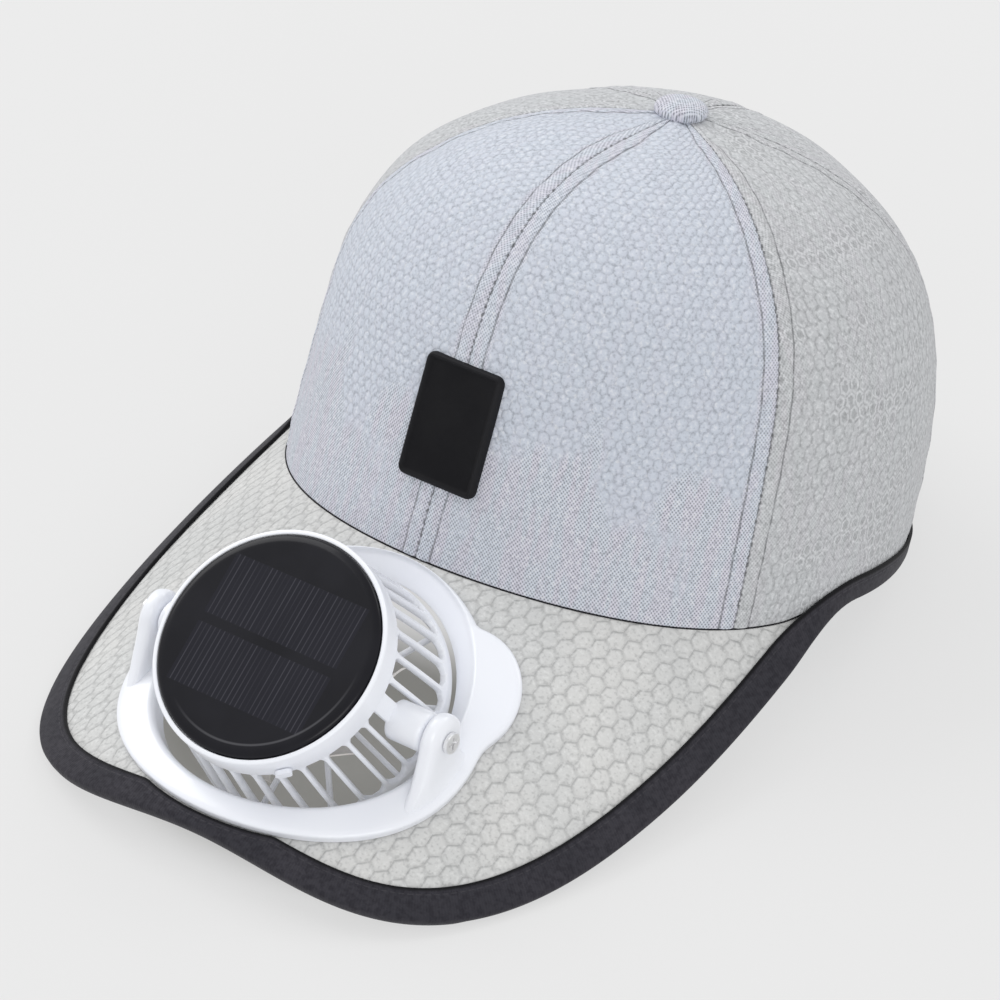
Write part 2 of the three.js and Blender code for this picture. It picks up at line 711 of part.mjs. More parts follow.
function fan_housing() {
  const cap = lathe([
    [0, shaft_bottom],
    [shaft_radius, shaft_bottom],
    [shaft_radius, motor_bottom],
    [motor_radius, motor_bottom],
    [motor_radius, cap_underside],
    [bezel_radius - skirt_wall, cap_underside],
    [bezel_radius - skirt_wall, skirt_bottom],
    [bezel_radius, skirt_bottom],
    [bezel_radius, bezel_top - 0.6],
    [bezel_radius - 0.5, bezel_top],
    [recess_radius, bezel_top],
    [recess_radius, recess_floor],
    [0, recess_floor],
  ]);
  const guard = closed_lathe([
    [guard_radius - guard_wall, guard_bottom],
    [guard_radius, guard_bottom],
    [guard_radius, guard_top],
    [guard_radius - guard_wall, guard_top],
  ]);
  const boss = lathe([
    [0, guard_bottom],
    [boss_radius, guard_bottom],
    [boss_radius, guard_bottom + spoke_height * 1.4],
    [0, guard_bottom + spoke_height * 1.4],
  ], 20);
  const pieces = [cap, guard, boss];
  for (let i = 0; i < rib_count; i += 1) {
    const at_pivot = i % (rib_count / 2) === 0;
    pieces.push(rib((2 * Math.PI * i) / rib_count, at_pivot ? rail_width : rib_width));
  }
  for (let i = 0; i < spoke_count; i += 1) {
    const length = guard_radius - guard_wall / 2 - boss_radius + 1;
    const spoke = new THREE.BoxGeometry(length, spoke_width, spoke_height);
    spoke.translate(boss_radius - 1 + length / 2, 0, guard_bottom + spoke_height / 2 + 0.2);
    spoke.rotateZ((2 * Math.PI * (i + 0.5)) / spoke_count);
    pieces.push(spoke);
  }
  let housing = joined(pieces);
  for (const side of [1, -1]) {
    const inner = rib_radius(0) - rib_depth / 4;
    const trunnion = cross_cylinder(trunnion_radius, inner, trunnion_reach);
    const bore = cross_cylinder(screw_radius + seat_gap, inner + trunnion_web, trunnion_reach + 1);
    if (side < 0) {
      trunnion.rotateZ(Math.PI);
      bore.rotateZ(Math.PI);
    }
    housing = housing.add(solid_of(trunnion)).subtract(solid_of(bore));
  }
  return geometry_of(housing);
}

function solar_panel() {
  const floor = recess_floor + seat_gap;
  return lathe([
    [0, floor],
    [panel_radius, floor],
    [panel_radius, floor + panel_edge_height],
    [panel_flat_radius, floor + panel_thickness],
    [0, floor + panel_thickness],
  ]);
}

function rotor_blade(turn) {
  const at = (u, v, out) => {
    const r = THREE.MathUtils.lerp(hub_radius - 0.8, blade_reach, u);
    const swing = turn + (v - 0.5) * blade_sweep * (1 - 0.25 * u) + 0.3 * u * u;
    const z = blade_top - blade_drop * v ** 1.3 + out;
    return new THREE.Vector3(r * Math.cos(swing), r * Math.sin(swing), z);
  };
  return wall_geometry(3, 3, (u, v) => at(u, v, blade_wall / 2), (u, v) => at(u, v, -blade_wall / 2));
}

function fan_rotor() {
  const bore = shaft_radius + seat_gap;
  const hub = lathe([
    [0, hub_bottom],
    [hub_radius - 1.5, hub_bottom],
    [hub_radius, hub_bottom + 1.5],
    [hub_radius, hub_top],
    [hub_radius - hub_wall, hub_top],
    [hub_radius - hub_wall, motor_bottom - rotor_clearance],
    [bore, motor_bottom - rotor_clearance],
    [bore, hub_bottom + hub_cap],
    [0, hub_bottom + hub_cap],
  ], 20);
  const pieces = [hub];
  for (let i = 0; i < blade_count; i += 1) pieces.push(rotor_blade((2 * Math.PI * i) / blade_count));
  return geometry_of(joined(pieces));
}

// A small rounded key that stands out of the skirt.
function power_button() {
  const outline = new THREE.Shape();
  const [half, r] = [(nub_length - nub_height) / 2, nub_height / 2];
  outline.absarc(half, 0, r, -Math.PI / 2, Math.PI / 2);
  outline.absarc(-half, 0, r, Math.PI / 2, 1.5 * Math.PI);
  const key = new THREE.ExtrudeGeometry(outline, { depth: nub_depth, bevelEnabled: false, curveSegments: 8 });
  key.rotateX(Math.PI / 2);
  key.translate(0, -bezel_radius - seat_gap, skirt_bottom + nub_height / 2 + face_gap);
  return key.rotateZ(nub_turn);
}

// Assembly

function piece(name, geometry, finish) {
  const mesh = new THREE.Mesh(geometry, finishes[finish].clone());
  mesh.name = name;
  return mesh;
}

const cap = new THREE.Group();
const panels = [
  ['crown_front_left', 0, 'front_mesh'],
  ['crown_side_left', 1, 'side_mesh'],
  ['crown_back_left', 2, 'side_mesh'],
  ['crown_back_right', -3, 'side_mesh'],
  ['crown_side_right', -2, 'side_mesh'],
  ['crown_front_right', -1, 'front_mesh'],
];
for (const [name, place, finish] of panels) cap.add(piece(name, crown_panel(place * panel_angle), finish));
cap.add(piece('top_button', top_button(), 'front_mesh'));
cap.add(piece('brim', brim_board(), 'brim_mesh'));
cap.add(piece('brim_binding', brim_tape(), 'edge_tape'));
cap.add(piece('hem_binding', hem_tape(), 'edge_tape'));
cap.add(piece('front_label', front_label(), 'rubber'));
cap.add(piece('fan_frame', fan_frame(), 'white_plastic'));

const fan = new THREE.Group();
fan.add(piece('fan_housing', fan_housing(), 'white_plastic'));
fan.add(piece('solar_panel', solar_panel(), 'solar_glass'));
fan.add(piece('fan_rotor', fan_rotor(), 'fan_plastic'));
fan.add(piece('power_button', power_button(), 'white_plastic'));
fan.add(piece('ear_screw_left', ear_screw(1), 'steel'));
fan.add(piece('ear_screw_right', ear_screw(-1), 'steel'));
fan.position.set(0, -pivot_forward, pivot_height);
fan.rotation.x = fan_tilt;
cap.add(fan);
cap.rotation.x = -rest.pitch;

// The origin is under the middle of the resting cap, on the surface.
const fan_hat = new THREE.Group();
fan_hat.add(cap);
fan_hat.updateMatrixWorld(true);
const bounds = new THREE.Box3().setFromObject(fan_hat, true);
const middle = bounds.getCenter(new THREE.Vector3());
cap.position.set(-middle.x, -middle.y, -bounds.min.z);
fan_hat.updateMatrixWorld(true);

export default fan_hat;
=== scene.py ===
# A mesh baseball cap with a solar fan in its brim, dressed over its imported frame. Sizes are in mm
# and become metres in world(). The cap's own frame has its hem flat, the brim along -Y and +Z up.
import bmesh
import bpy
import numpy as np
from mathutils import Matrix

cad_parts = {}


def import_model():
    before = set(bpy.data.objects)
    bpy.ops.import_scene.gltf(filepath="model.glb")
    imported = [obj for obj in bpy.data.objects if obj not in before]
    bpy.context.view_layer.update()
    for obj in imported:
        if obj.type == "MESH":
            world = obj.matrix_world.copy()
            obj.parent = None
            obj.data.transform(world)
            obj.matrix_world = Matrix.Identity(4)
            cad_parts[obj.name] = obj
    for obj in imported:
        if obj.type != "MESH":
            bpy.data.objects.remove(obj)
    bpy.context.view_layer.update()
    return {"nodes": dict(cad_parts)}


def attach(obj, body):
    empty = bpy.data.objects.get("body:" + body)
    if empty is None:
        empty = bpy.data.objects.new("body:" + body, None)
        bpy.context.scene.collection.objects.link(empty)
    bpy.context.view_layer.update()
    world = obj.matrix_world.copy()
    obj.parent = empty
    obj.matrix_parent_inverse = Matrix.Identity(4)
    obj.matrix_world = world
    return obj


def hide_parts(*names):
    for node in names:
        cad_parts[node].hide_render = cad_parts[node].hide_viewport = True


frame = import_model()

# How the cap stands, and where its fan is
PITCH = np.radians(12.318031344925656)
CAP_PLACE = np.array([0, 43.35143780456085, 19.077749656535193])
PIVOT = np.array([0, -140.00064, -11.2007])
FAN_TILT = np.radians(48)

# Crown
HALF_WIDTH = 91
HALF_LENGTH = 90
CROWN_HEIGHT = 117
CROWN_LEAN = 16
CLOTH_WALL = 1.4
PANEL_BULGE = 0.9
CROWN_TOP = 0.98
PANEL_ANGLE = np.pi / 3
STITCH_OFFSET = 4.7
SECTIONS = {
    "height": [0, 0.2, 0.4, 0.58, 0.73, 0.85, 0.93, 0.98, 1],
    "front": [1, 0.97, 0.945, 0.93, 0.877, 0.784, 0.652, 0.429, 0],
    "side": [1, 1, 0.988, 0.946, 0.845, 0.66, 0.449, 0.21, 0],
    "back": [1, 1.01, 0.95, 0.84, 0.718, 0.578, 0.42, 0.224, 0],
}

# Brim
BRIM_LENGTH = 89.8
BRIM_HALF_WIDTH = 94.8
BRIM_THICKNESS = 2.6
ROOT_HEIGHT = 9
BRIM_SLOPE = np.tan(np.radians(26.4))
BRIM_SAG = 8
BEND_RADIUS = 130
ROOT_ANGLE = np.radians(78)
BRIM_CORNER = 3.3
BRIM_END_WIDTH = 3

# Tape
TAPE_WIDTH = 6
TAPE_START = np.radians(80)
TAPE_ENDS = (0.045, 0.955)
TAPE_SECTIONS = 260
TAPE_MAP_POINT = 9

# Fan frame
PLATE = (54, 42.1, 134.5)
MOUTH = (44, 38.5, 131.5)
THROAT = (41.5, 36, 134)
EAR_INNER = 46
EAR_THICKNESS = 5.8
EAR_RADIUS = 7
EAR_BASE = 22

# Fan
BEZEL = 34.6
RIB_COUNT = 30
GUARD = 38.2
SPOKE_COUNT = 10
SPOKE_HALF = 0.8
SPOKE_LEVEL = -18.2
BLADE_COUNT = 7
BLADE_REACH = (8.9, 31.0)
BLADE_LEVEL = (11, 13.5)
BLADE_SWEEP = np.radians(34)


def mix(a, b, share):
    """A value between two others: a at share 0, b at share 1."""
    return a + (b - a) * share


def smooth_step(value, low, high):
    """0 below low, 1 above high, and an S curve between them."""
    share = np.clip((value - low) / (high - low), 0, 1)
    return share * share * (3 - 2 * share)


def world(points):
    """Points of the cap's own frame, turned back by its pitch, set on the floor and made metres."""
    x, y, z = np.moveaxis(np.asarray(points, float), -1, 0)
    c, s = np.cos(PITCH), np.sin(PITCH)
    return (np.stack([x, y * c + z * s, z * c - y * s], -1) + CAP_PLACE) / 1000


def fan_world(points):
    """Points of the fan's frame, whose Z is its axis and whose origin is its pivot."""
    x, y, z = np.moveaxis(np.asarray(points, float), -1, 0)
    c, s = np.cos(FAN_TILT), np.sin(FAN_TILT)
    return world(np.stack([x, y * c - z * s, y * s + z * c], -1) + PIVOT)


def unit(vectors):
    """Vectors divided by their lengths."""
    return vectors / np.maximum(np.linalg.norm(vectors, axis=-1, keepdims=True), 1e-12)


def run_length(points):
    """The length along a line of points, or along each column of a grid of them, from its start."""
    steps = np.linalg.norm(np.diff(points, axis=0), axis=-1)
    return np.concatenate([0 * steps[:1], np.cumsum(steps, 0)])


def signed_power(value, exponent):
    """A value's size raised to a power, with its sign kept."""
    return np.sign(value) * np.abs(value) ** exponent


# Surfaces and pieces

def grid_faces(columns, rows):
    """Four-sided faces of a grid of points, listed column by column."""
    i, j = np.meshgrid(np.arange(columns - 1), np.arange(rows - 1), indexing="ij")
    corner = i * rows + j
    return np.stack([corner, corner + rows, corner + rows + 1, corner + 1], -1).reshape(-1, 4)


def surface(points, uv=None, **values):
    """A grid of points (columns, rows, 3) in metres, with its map in mm and its named values."""
    columns, rows = points.shape[:2]
    uv = np.zeros((columns, rows, 2)) if uv is None else uv
    flat = {name: np.broadcast_to(value, (columns, rows)).reshape(-1) for name, value in values.items()}
    faces = grid_faces(columns, rows)
    return {"points": points.reshape(-1, 3), "faces": faces, "uv": uv.reshape(-1, 2), "values": flat}


def wall(outer, inner, faces=None, uv=None, **values):
    """A closed wall: an outer and an inner sheet of the same faces, joined along every open edge."""
    if outer.ndim == 3:
        faces = grid_faces(*outer.shape[:2])
        uv = np.zeros(outer.shape[:2] + (2,)) if uv is None else uv
    outer, inner, uv = outer.reshape(-1, 3), inner.reshape(-1, 3), uv.reshape(-1, 2)
    count = len(outer)
    edges = np.concatenate([faces[:, [k, (k + 1) % 4]] for k in range(4)])
    low, high = edges.min(1), edges.max(1)
    _, first, times = np.unique(low * count + high, return_index=True, return_counts=True)
    rim = edges[first[times == 1]]
    sides = np.stack([rim[:, 1], rim[:, 0], rim[:, 0] + count, rim[:, 1] + count], 1)
    flat = {name: np.tile(np.asarray(value).reshape(-1), 2) for name, value in values.items()}
    return {
        "points": np.concatenate([outer, inner]),
        "faces": np.concatenate([faces, faces[:, ::-1] + count, sides]),
        "uv": np.concatenate([uv, uv]),
        "values": flat,
    }


def make_piece(name, parts, finish, slot, body, *nodes, sharp=38):
    """One object from surfaces: points that meet joined, faces turned out, edges over an angle sharp."""
    counts = np.cumsum([0] + [len(part["points"]) for part in parts])
    points = np.concatenate([part["points"] for part in parts])
    faces = np.concatenate([part["faces"] + start for part, start in zip(parts, counts)])
    uv = np.concatenate([part["uv"] for part in parts])
    mesh = bpy.data.meshes.new(name)
    mesh.from_pydata(points.tolist(), [], faces.tolist())
    corners = np.empty(len(mesh.loops), int)
    mesh.loops.foreach_get("vertex_index", corners)
    mesh.uv_layers.new(name="map").uv.foreach_set("vector", uv[corners].astype(np.float32).ravel())
    for key in parts[0]["values"]:
        made = mesh.attributes.new(key, "FLOAT", "POINT")
        value = np.concatenate([part["values"][key] for part in parts])
        made.data.foreach_set("value", value.astype(np.float32))
    work = bmesh.new()
    work.from_mesh(mesh)
    bmesh.ops.remove_doubles(work, verts=work.verts, dist=3e-6)
    bmesh.ops.recalc_face_normals(work, faces=work.faces)
    work.to_mesh(mesh)
    work.free()
    mesh.polygons.foreach_set("use_smooth", np.ones(len(mesh.polygons), bool))
    mesh.set_sharp_from_angle(angle=np.radians(sharp))
    mesh.materials.append(finish)
    piece = bpy.data.objects.new(name, mesh)
    bpy.context.scene.collection.objects.link(piece)
    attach(piece, body)
    if nodes:
        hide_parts(*nodes)
    return piece


def round_path(points, radii, steps=5):
    """A line with rounded corners: at each, a quadratic curve between two cut-back points."""
    points = np.asarray(points, float)
    line = [points[:1]]
    share = np.linspace(0, 1, steps)[:, None]
    for k in range(1, len(points) - 1):
        before, corner, after = points[k - 1], points[k], points[k + 1]
        cut = min(radii[k], 0.49 * np.linalg.norm(before - corner), 0.49 * np.linalg.norm(after - corner))
        start = corner + unit(before - corner) * cut
        end = corner + unit(after - corner) * cut
        line.append(mix(mix(start, corner, share), mix(corner, end, share), share))
    line.append(points[-1:])
    return np.concatenate(line)


def lathe(profile, columns, place):
    """A profile of (radius, height) carried round the axis, then placed; its map is its plan in mm."""
    turn = np.linspace(0, 2 * np.pi, columns + 1)[:, None]
    radius, height = np.asarray(profile, float).T
    points = np.stack([radius * np.cos(turn), radius * np.sin(turn), height + 0 * turn], -1)
    return surface(place(points), points[..., :2])


# Crown surface

def crown_share(name, rise):
    """A Catmull-Rom curve through one column of the sections, from rise 0 at the hem to 1 at the top."""
    rows = np.array(SECTIONS[name], float)
    last = len(rows) - 1
    spot = np.clip(rise, 0, 1) * last
    k = np.minimum(spot.astype(int), last - 1)
    t = spot - k
    p0, p1 = rows[np.maximum(k - 1, 0)], rows[k]
    p2, p3 = rows[k + 1], rows[np.minimum(k + 2, last)]
    v0, v1 = (p2 - p0) / 2, (p3 - p1) / 2
    return (2 * p1 - 2 * p2 + v0 + v1) * t ** 3 + (3 * p2 - 3 * p1 - 2 * v0 - v1) * t ** 2 + v0 * t + p1


def brim_height(x, y):
    """A board that falls by its slope, sags with the square of its length and bends down on a circle."""
    forward = -y - HALF_LENGTH
    droop = BEND_RADIUS - np.sqrt(BEND_RADIUS ** 2 - x * x)
    return ROOT_HEIGHT - BRIM_SLOPE * forward - BRIM_SAG * (forward / BRIM_LENGTH) ** 2 - droop


def brim_point(x, y, above):
    """The brim's top face at (x, y), moved square to that face."""
    x, y, above = np.broadcast_arrays(np.asarray(x, float), y, above)
    across = x / np.sqrt(BEND_RADIUS ** 2 - x * x)
    along = -BRIM_SLOPE - 2 * BRIM_SAG * (-y - HALF_LENGTH) / BRIM_LENGTH ** 2
    normal = unit(np.stack([across, along, np.ones_like(x)], -1))
    return np.stack([x, y, brim_height(x, y)], -1) + normal * above[..., None]


def signed(angle):
    """The same direction between -180 and 180 degrees."""
    return (np.asarray(angle, float) + np.pi) % (2 * np.pi) - np.pi


def hem_line(angle):
    """Height of the crown's lower line: the brim's root, then a square law down to 0 at the back."""
    angle = np.abs(signed(angle))
    at = np.minimum(angle, ROOT_ANGLE)
    root = brim_height(HALF_WIDTH * np.sin(at), -HALF_LENGTH * np.cos(at))
    past = np.maximum(angle - ROOT_ANGLE, 0) / (np.pi - ROOT_ANGLE)
    return root * (1 - past) ** 2


def floor_height(y, press):
    """Height of the floor in the cap's own frame under y, raised by how far cloth is pressed flat."""
    return (press - CAP_PLACE[2] + y * np.sin(PITCH)) / np.cos(PITCH)


def crown_surface(angle, rise):
    """Base ellipse times a reach that blends front, side and back columns by squared cosines, leaning back."""
    angle, rise = np.broadcast_arrays(np.asarray(angle, float), rise)
    forth = np.cos(angle)
    front, back = np.maximum(forth, 0) ** 2, np.maximum(-forth, 0) ** 2
    reach = front * crown_share("front", rise) + back * crown_share("back", rise)
    reach = reach + (1 - front - back) * crown_share("side", rise)
    height = crown_share("height", rise)
    foot = hem_line(angle)
    return np.stack([
        HALF_WIDTH * np.sin(angle) * reach,
        -HALF_LENGTH * forth * reach + CROWN_LEAN * height,
        foot + (CROWN_HEIGHT - foot) * height,
    ], -1)


def crown_normal(angle, rise):
    """The cross product of the surface's two directions."""
    step = 0.002
    across = crown_surface(angle + step, rise) - crown_surface(angle - step, rise)
    along = crown_surface(angle, rise + step) - crown_surface(angle, np.maximum(rise - step, 0))
    return unit(np.cross(across, along))


def crown_point(angle, rise, out):
    """The crown's surface moved out, each panel bulging by half a sine between its seams."""
    angle, rise, out = np.broadcast_arrays(np.asarray(angle, float), rise, out)
    share = (np.abs(signed(angle)) % PANEL_ANGLE) / PANEL_ANGLE
    bulge = PANEL_BULGE * np.sin(np.pi * share) * np.sin(np.pi * np.clip(rise, 0, 1))
    return crown_surface(angle, rise) + crown_normal(angle, rise) * (out + bulge)[..., None]


def rise_at(angle, z):
    """The rise where the crown reaches a height, by halving."""
    angle, z = np.broadcast_arrays(np.asarray(angle, float), z)
    low, high = np.zeros(z.shape), np.ones(z.shape)
    for _ in range(22):
        middle = (low + high) / 2
        below = crown_surface(angle, middle)[..., 2] < z
        low, high = np.where(below, middle, low), np.where(below, high, middle)
    return low


def wall_foot(angle, lift):
    """Lower edge of the crown's wall: on the brim in front, inside the tape behind it."""
    angle = signed(angle)
    x, y = HALF_WIDTH * np.sin(angle), -HALF_LENGTH * np.cos(angle)
    hem = np.maximum(hem_line(angle), floor_height(y, 1.2))
    on_brim = np.abs(angle) <= TAPE_START
    past = smooth_step(np.abs(angle), ROOT_ANGLE - np.radians(8), ROOT_ANGLE - np.radians(2))
    return np.where(on_brim, np.maximum(brim_height(x, y), hem), hem) + lift + past * 0.8


def ripple(angle, rise):
    """Gentle unevenness of worn cloth: three slow waves round and up the crown, in mm."""
    waves = np.sin(5.3 * angle + 6.1 * rise + 0.4) * np.sin(9.7 * rise - 2.2 * angle)
    return 0.30 * waves + 0.16 * np.sin(13 * angle + 1.9) * np.sin(15 * rise + 0.7)


def crown_cloth(start):
    """One panel between two seams, with columns crowded to the seams.

    Out of the surface: a strip between the seam and its stitch line stands 0.28 mm proud, with a
    groove of a rounded notch at the stitch line and at the seam, and small puckers beside them.
    """
    from_seam = np.array([0.06, 0.35, 0.8, 1.5, 2.6, 3.6, 4.2, 4.5, 4.7, 4.9, 5.2, 5.8, 6.8, 8.4])
    rows = 96
    v = np.linspace(0, 1, rows) ** 0.94
    sample = np.linspace(start, start + PANEL_ANGLE, 121)
    middle = start + PANEL_ANGLE / 2
    foot_middle = rise_at(middle, wall_foot(middle, 0.12))
    rise_middle = mix(foot_middle, CROWN_TOP, v)
    rings = crown_surface(sample[:, None], rise_middle[None])
    run = run_length(rings)
    width = run[-1]
    strip = np.minimum(STITCH_OFFSET, 0.16 * width) / STITCH_OFFSET
    near = from_seam[:, None] * strip
    between = mix(near[-1], width - near[-1], np.linspace(0, 1, 34)[1:-1, None])
    distance = np.concatenate([near, between, (width - near)[::-1]])
    angle = np.stack([np.interp(distance[:, j], run[:, j], sample) for j in range(rows)], 1)
    rise = mix(rise_at(angle, wall_foot(angle, 0.12)), CROWN_TOP, v[None])
    length = np.linspace(0, 1, 400)
    meridian = crown_surface(np.full(400, middle), length)
    up = run_length(meridian)
    height = np.interp(rise, length, up)
    seam = np.minimum(distance, width - distance) / strip
    proud = 0.28 * (1 - smooth_step(seam, 3.6, 6.0))
    notch = 0.28 * np.exp(-((seam - STITCH_OFFSET) / 0.5) ** 2) + 0.3 * np.exp(-(seam / 0.8) ** 2)
    pucker = 0.16 * np.sin(height / 1.9 + 3 * start) * np.exp(-((seam - STITCH_OFFSET) / 3.2) ** 2)
    out = proud - notch + pucker + ripple(angle, rise) * smooth_step(v, 0, 0.08)[None]
    outer = crown_point(angle, rise, out)
    inner = crown_point(angle, rise, -CLOTH_WALL + np.minimum(out, 0.2))
    foot = wall_foot(angle[:, 0], 0.12)
    outer[:, 0, 2], inner[:, 0, 2] = foot, foot
    uv = np.stack([distance - width / 2, height], -1)
    return wall(world(outer), world(inner), uv=uv, seam=seam)


def crown_piping():
    """A thin dark thread where the crown meets the brim: a circle of 0.24 mm carried along the joint."""
    angle = np.linspace(-ROOT_ANGLE - 0.03, ROOT_ANGLE + 0.03, 181)
    turn = np.linspace(0, 2 * np.pi, 9)
    base = crown_point(angle, rise_at(angle, wall_foot(angle, 0.12)), 0)
    outward = unit(np.stack([np.sin(angle), -np.cos(angle), 0 * angle], -1))
    cos_turn, sin_turn = np.cos(turn)[None, :, None], np.sin(turn)[None, :, None]
    ring = outward[:, None] * cos_turn + np.array([0, 0, 1]) * sin_turn
    points = base[:, None] + outward[:, None] * 0.12 + ring * 0.24
    run = run_length(base)
    uv = np.stack(np.broadcast_arrays(run[:, None], turn[None]), -1)
    return surface(world(points), uv)


def button_cloth():
    """A flattened dome on a short neck: the profile is a superellipse, carried round the crown's top."""
    turn = np.linspace(0, np.pi / 2, 14)
    dome = np.stack([7.8 * np.cos(turn) ** 0.8, 1.1 + 3.3 * np.sin(turn) ** 0.9], 1)
    profile = np.concatenate([[[0, -1.5], [5.6, -1.5], [7.1, -0.3], [7.7, 0.4]], dome])
    place = lambda points: world(points + np.array([0, CROWN_LEAN, CROWN_HEIGHT]))
    part = lathe(profile, 64, place)
    part["values"] = {"seam": np.full(len(part["points"]), 30.0)}
    return part


# Brim and tape

def outline(t):
    """A superellipse round the crown's front, whose half width grows from the crown's own at its ends."""
    turn = (t - 0.5) * np.pi
    forth = np.abs(np.cos(turn)) ** (2 / BRIM_CORNER)
    side = signed_power(np.sin(turn), 2 / BRIM_CORNER)
    end_width = HALF_WIDTH * np.sin(ROOT_ANGLE) + BRIM_END_WIDTH
    widen = np.minimum(1, forth / 0.45)
    half = end_width + (BRIM_HALF_WIDTH - end_width) * widen * (2 - widen)
    root_y = -HALF_LENGTH * np.cos(ROOT_ANGLE)
    return np.stack([half * side, root_y - (BRIM_LENGTH + HALF_LENGTH + root_y) * forth], -1)


def outline_at(share):
    """Points at equal shares of the outline's length, and the direction out of it."""
    t = np.linspace(0, 1, 4001)
    line = outline(t)
    run = run_length(line)
    place = outline(np.interp(share * run[-1], run, t))
    step = 0.0008
    ahead = outline(np.interp(np.clip(share + step, 0, 1) * run[-1], run, t))
    behind = outline(np.interp(np.clip(share - step, 0, 1) * run[-1], run, t))
    tangent = unit(ahead - behind)
    return place, np.stack([tangent[:, 1], -tangent[:, 0]], -1)


def brim_cloth():
    """The board's top and under faces between the crown's base and the outline, with the fan's oval hole.

    Faces inside the oval are left out, and the points that remain inside it are moved out onto it.
    """
    u = np.linspace(0, 1, 201)
    v = 1 - (1 - np.linspace(0, 1, 64)) ** 1.2
    edge, _ = outline_at(u)
    angle = (2 * u - 1) * ROOT_ANGLE
    root = np.stack([HALF_WIDTH * np.sin(angle), -HALF_LENGTH * np.cos(angle)], -1)
    root = root * (1 - 4.4 / np.linalg.norm(root, axis=-1, keepdims=True))
    plan = mix(root[:, None], edge[:, None], v[None, :, None])
    middle = np.array([0, -MOUTH[2]])
    half = np.array([MOUTH[0] + 2, MOUTH[1] + 2])
    size = np.linalg.norm((plan - middle) / half, axis=-1)
    faces = grid_faces(201, 64)
    kept = faces[(size.reshape(-1)[faces] >= 1).any(1)]
    moved = middle + (plan - middle) / np.minimum(size, 1)[..., None]
    used, flat_faces = np.unique(kept, return_inverse=True)
    plan = moved.reshape(-1, 2)[used]
    wave = 0.18 * np.sin(plan[:, 0] / 11 + 0.6) * np.sin(plan[:, 1] / 13)
    top = brim_point(plan[:, 0], plan[:, 1], wave)
    under = brim_point(plan[:, 0], plan[:, 1], -BRIM_THICKNESS)
    return wall(world(top), world(under), flat_faces.reshape(-1, 4), plan)


def brim_folds(share, path, plate_room):
    """Tape sections on the brim: a path of (beyond the edge, above the top), its legs cut to the room."""
    place, outward = outline_at(share)
    angle = (2 * share - 1) * ROOT_ANGLE
    crown = np.stack([HALF_WIDTH * np.sin(angle), -HALF_LENGTH * np.cos(angle)], -1)
    room = np.linalg.norm(place - crown, axis=-1) - 0.6
    across = np.minimum(1, np.abs(place[:, 0]) / PLATE[0])
    before = -place[:, 1] - (PLATE[2] + PLATE[1] * np.sqrt(1 - across ** 2)) - plate_room
    leg = np.minimum(TAPE_WIDTH, np.minimum(room, np.where(across < 1, before, room)))
    beyond = np.where(path[None, :, 0] < 0, path[None, :, 0] * leg[:, None], path[None, :, 0])
    spot = place[:, None] + outward[:, None] * beyond[..., None]
    points = brim_point(spot[..., 0], spot[..., 1], np.broadcast_to(path[None, :, 1], beyond.shape))
    points[..., 2] = np.maximum(points[..., 2], floor_height(points[..., 1], 0.4))
    return points


def hem_folds(angle, path):
    """Tape sections on the hem: a path of (out of the wall, share of the height, mm above the hem)."""
    turned = np.abs(signed(angle))
    narrowing = smooth_step((turned - TAPE_START) / (np.pi - TAPE_START), 0.12, 0.55)
    tall = mix(7.5, 3.2, narrowing)
    base_y = -HALF_LENGTH * np.cos(angle)
    hem = np.maximum(hem_line(angle), floor_height(base_y, 1.2))
    z = hem[:, None] + path[None, :, 1] * tall[:, None] + path[None, :, 2]
    rise = rise_at(angle[:, None], z)
    points = crown_point(angle[:, None], rise, 0)
    normal = crown_normal(angle[:, None] + 0 * z, rise)
    normal[..., 2] = 0
    points = points + unit(normal) * path[None, :, 0, None]
    points[..., 2] = z
    return points


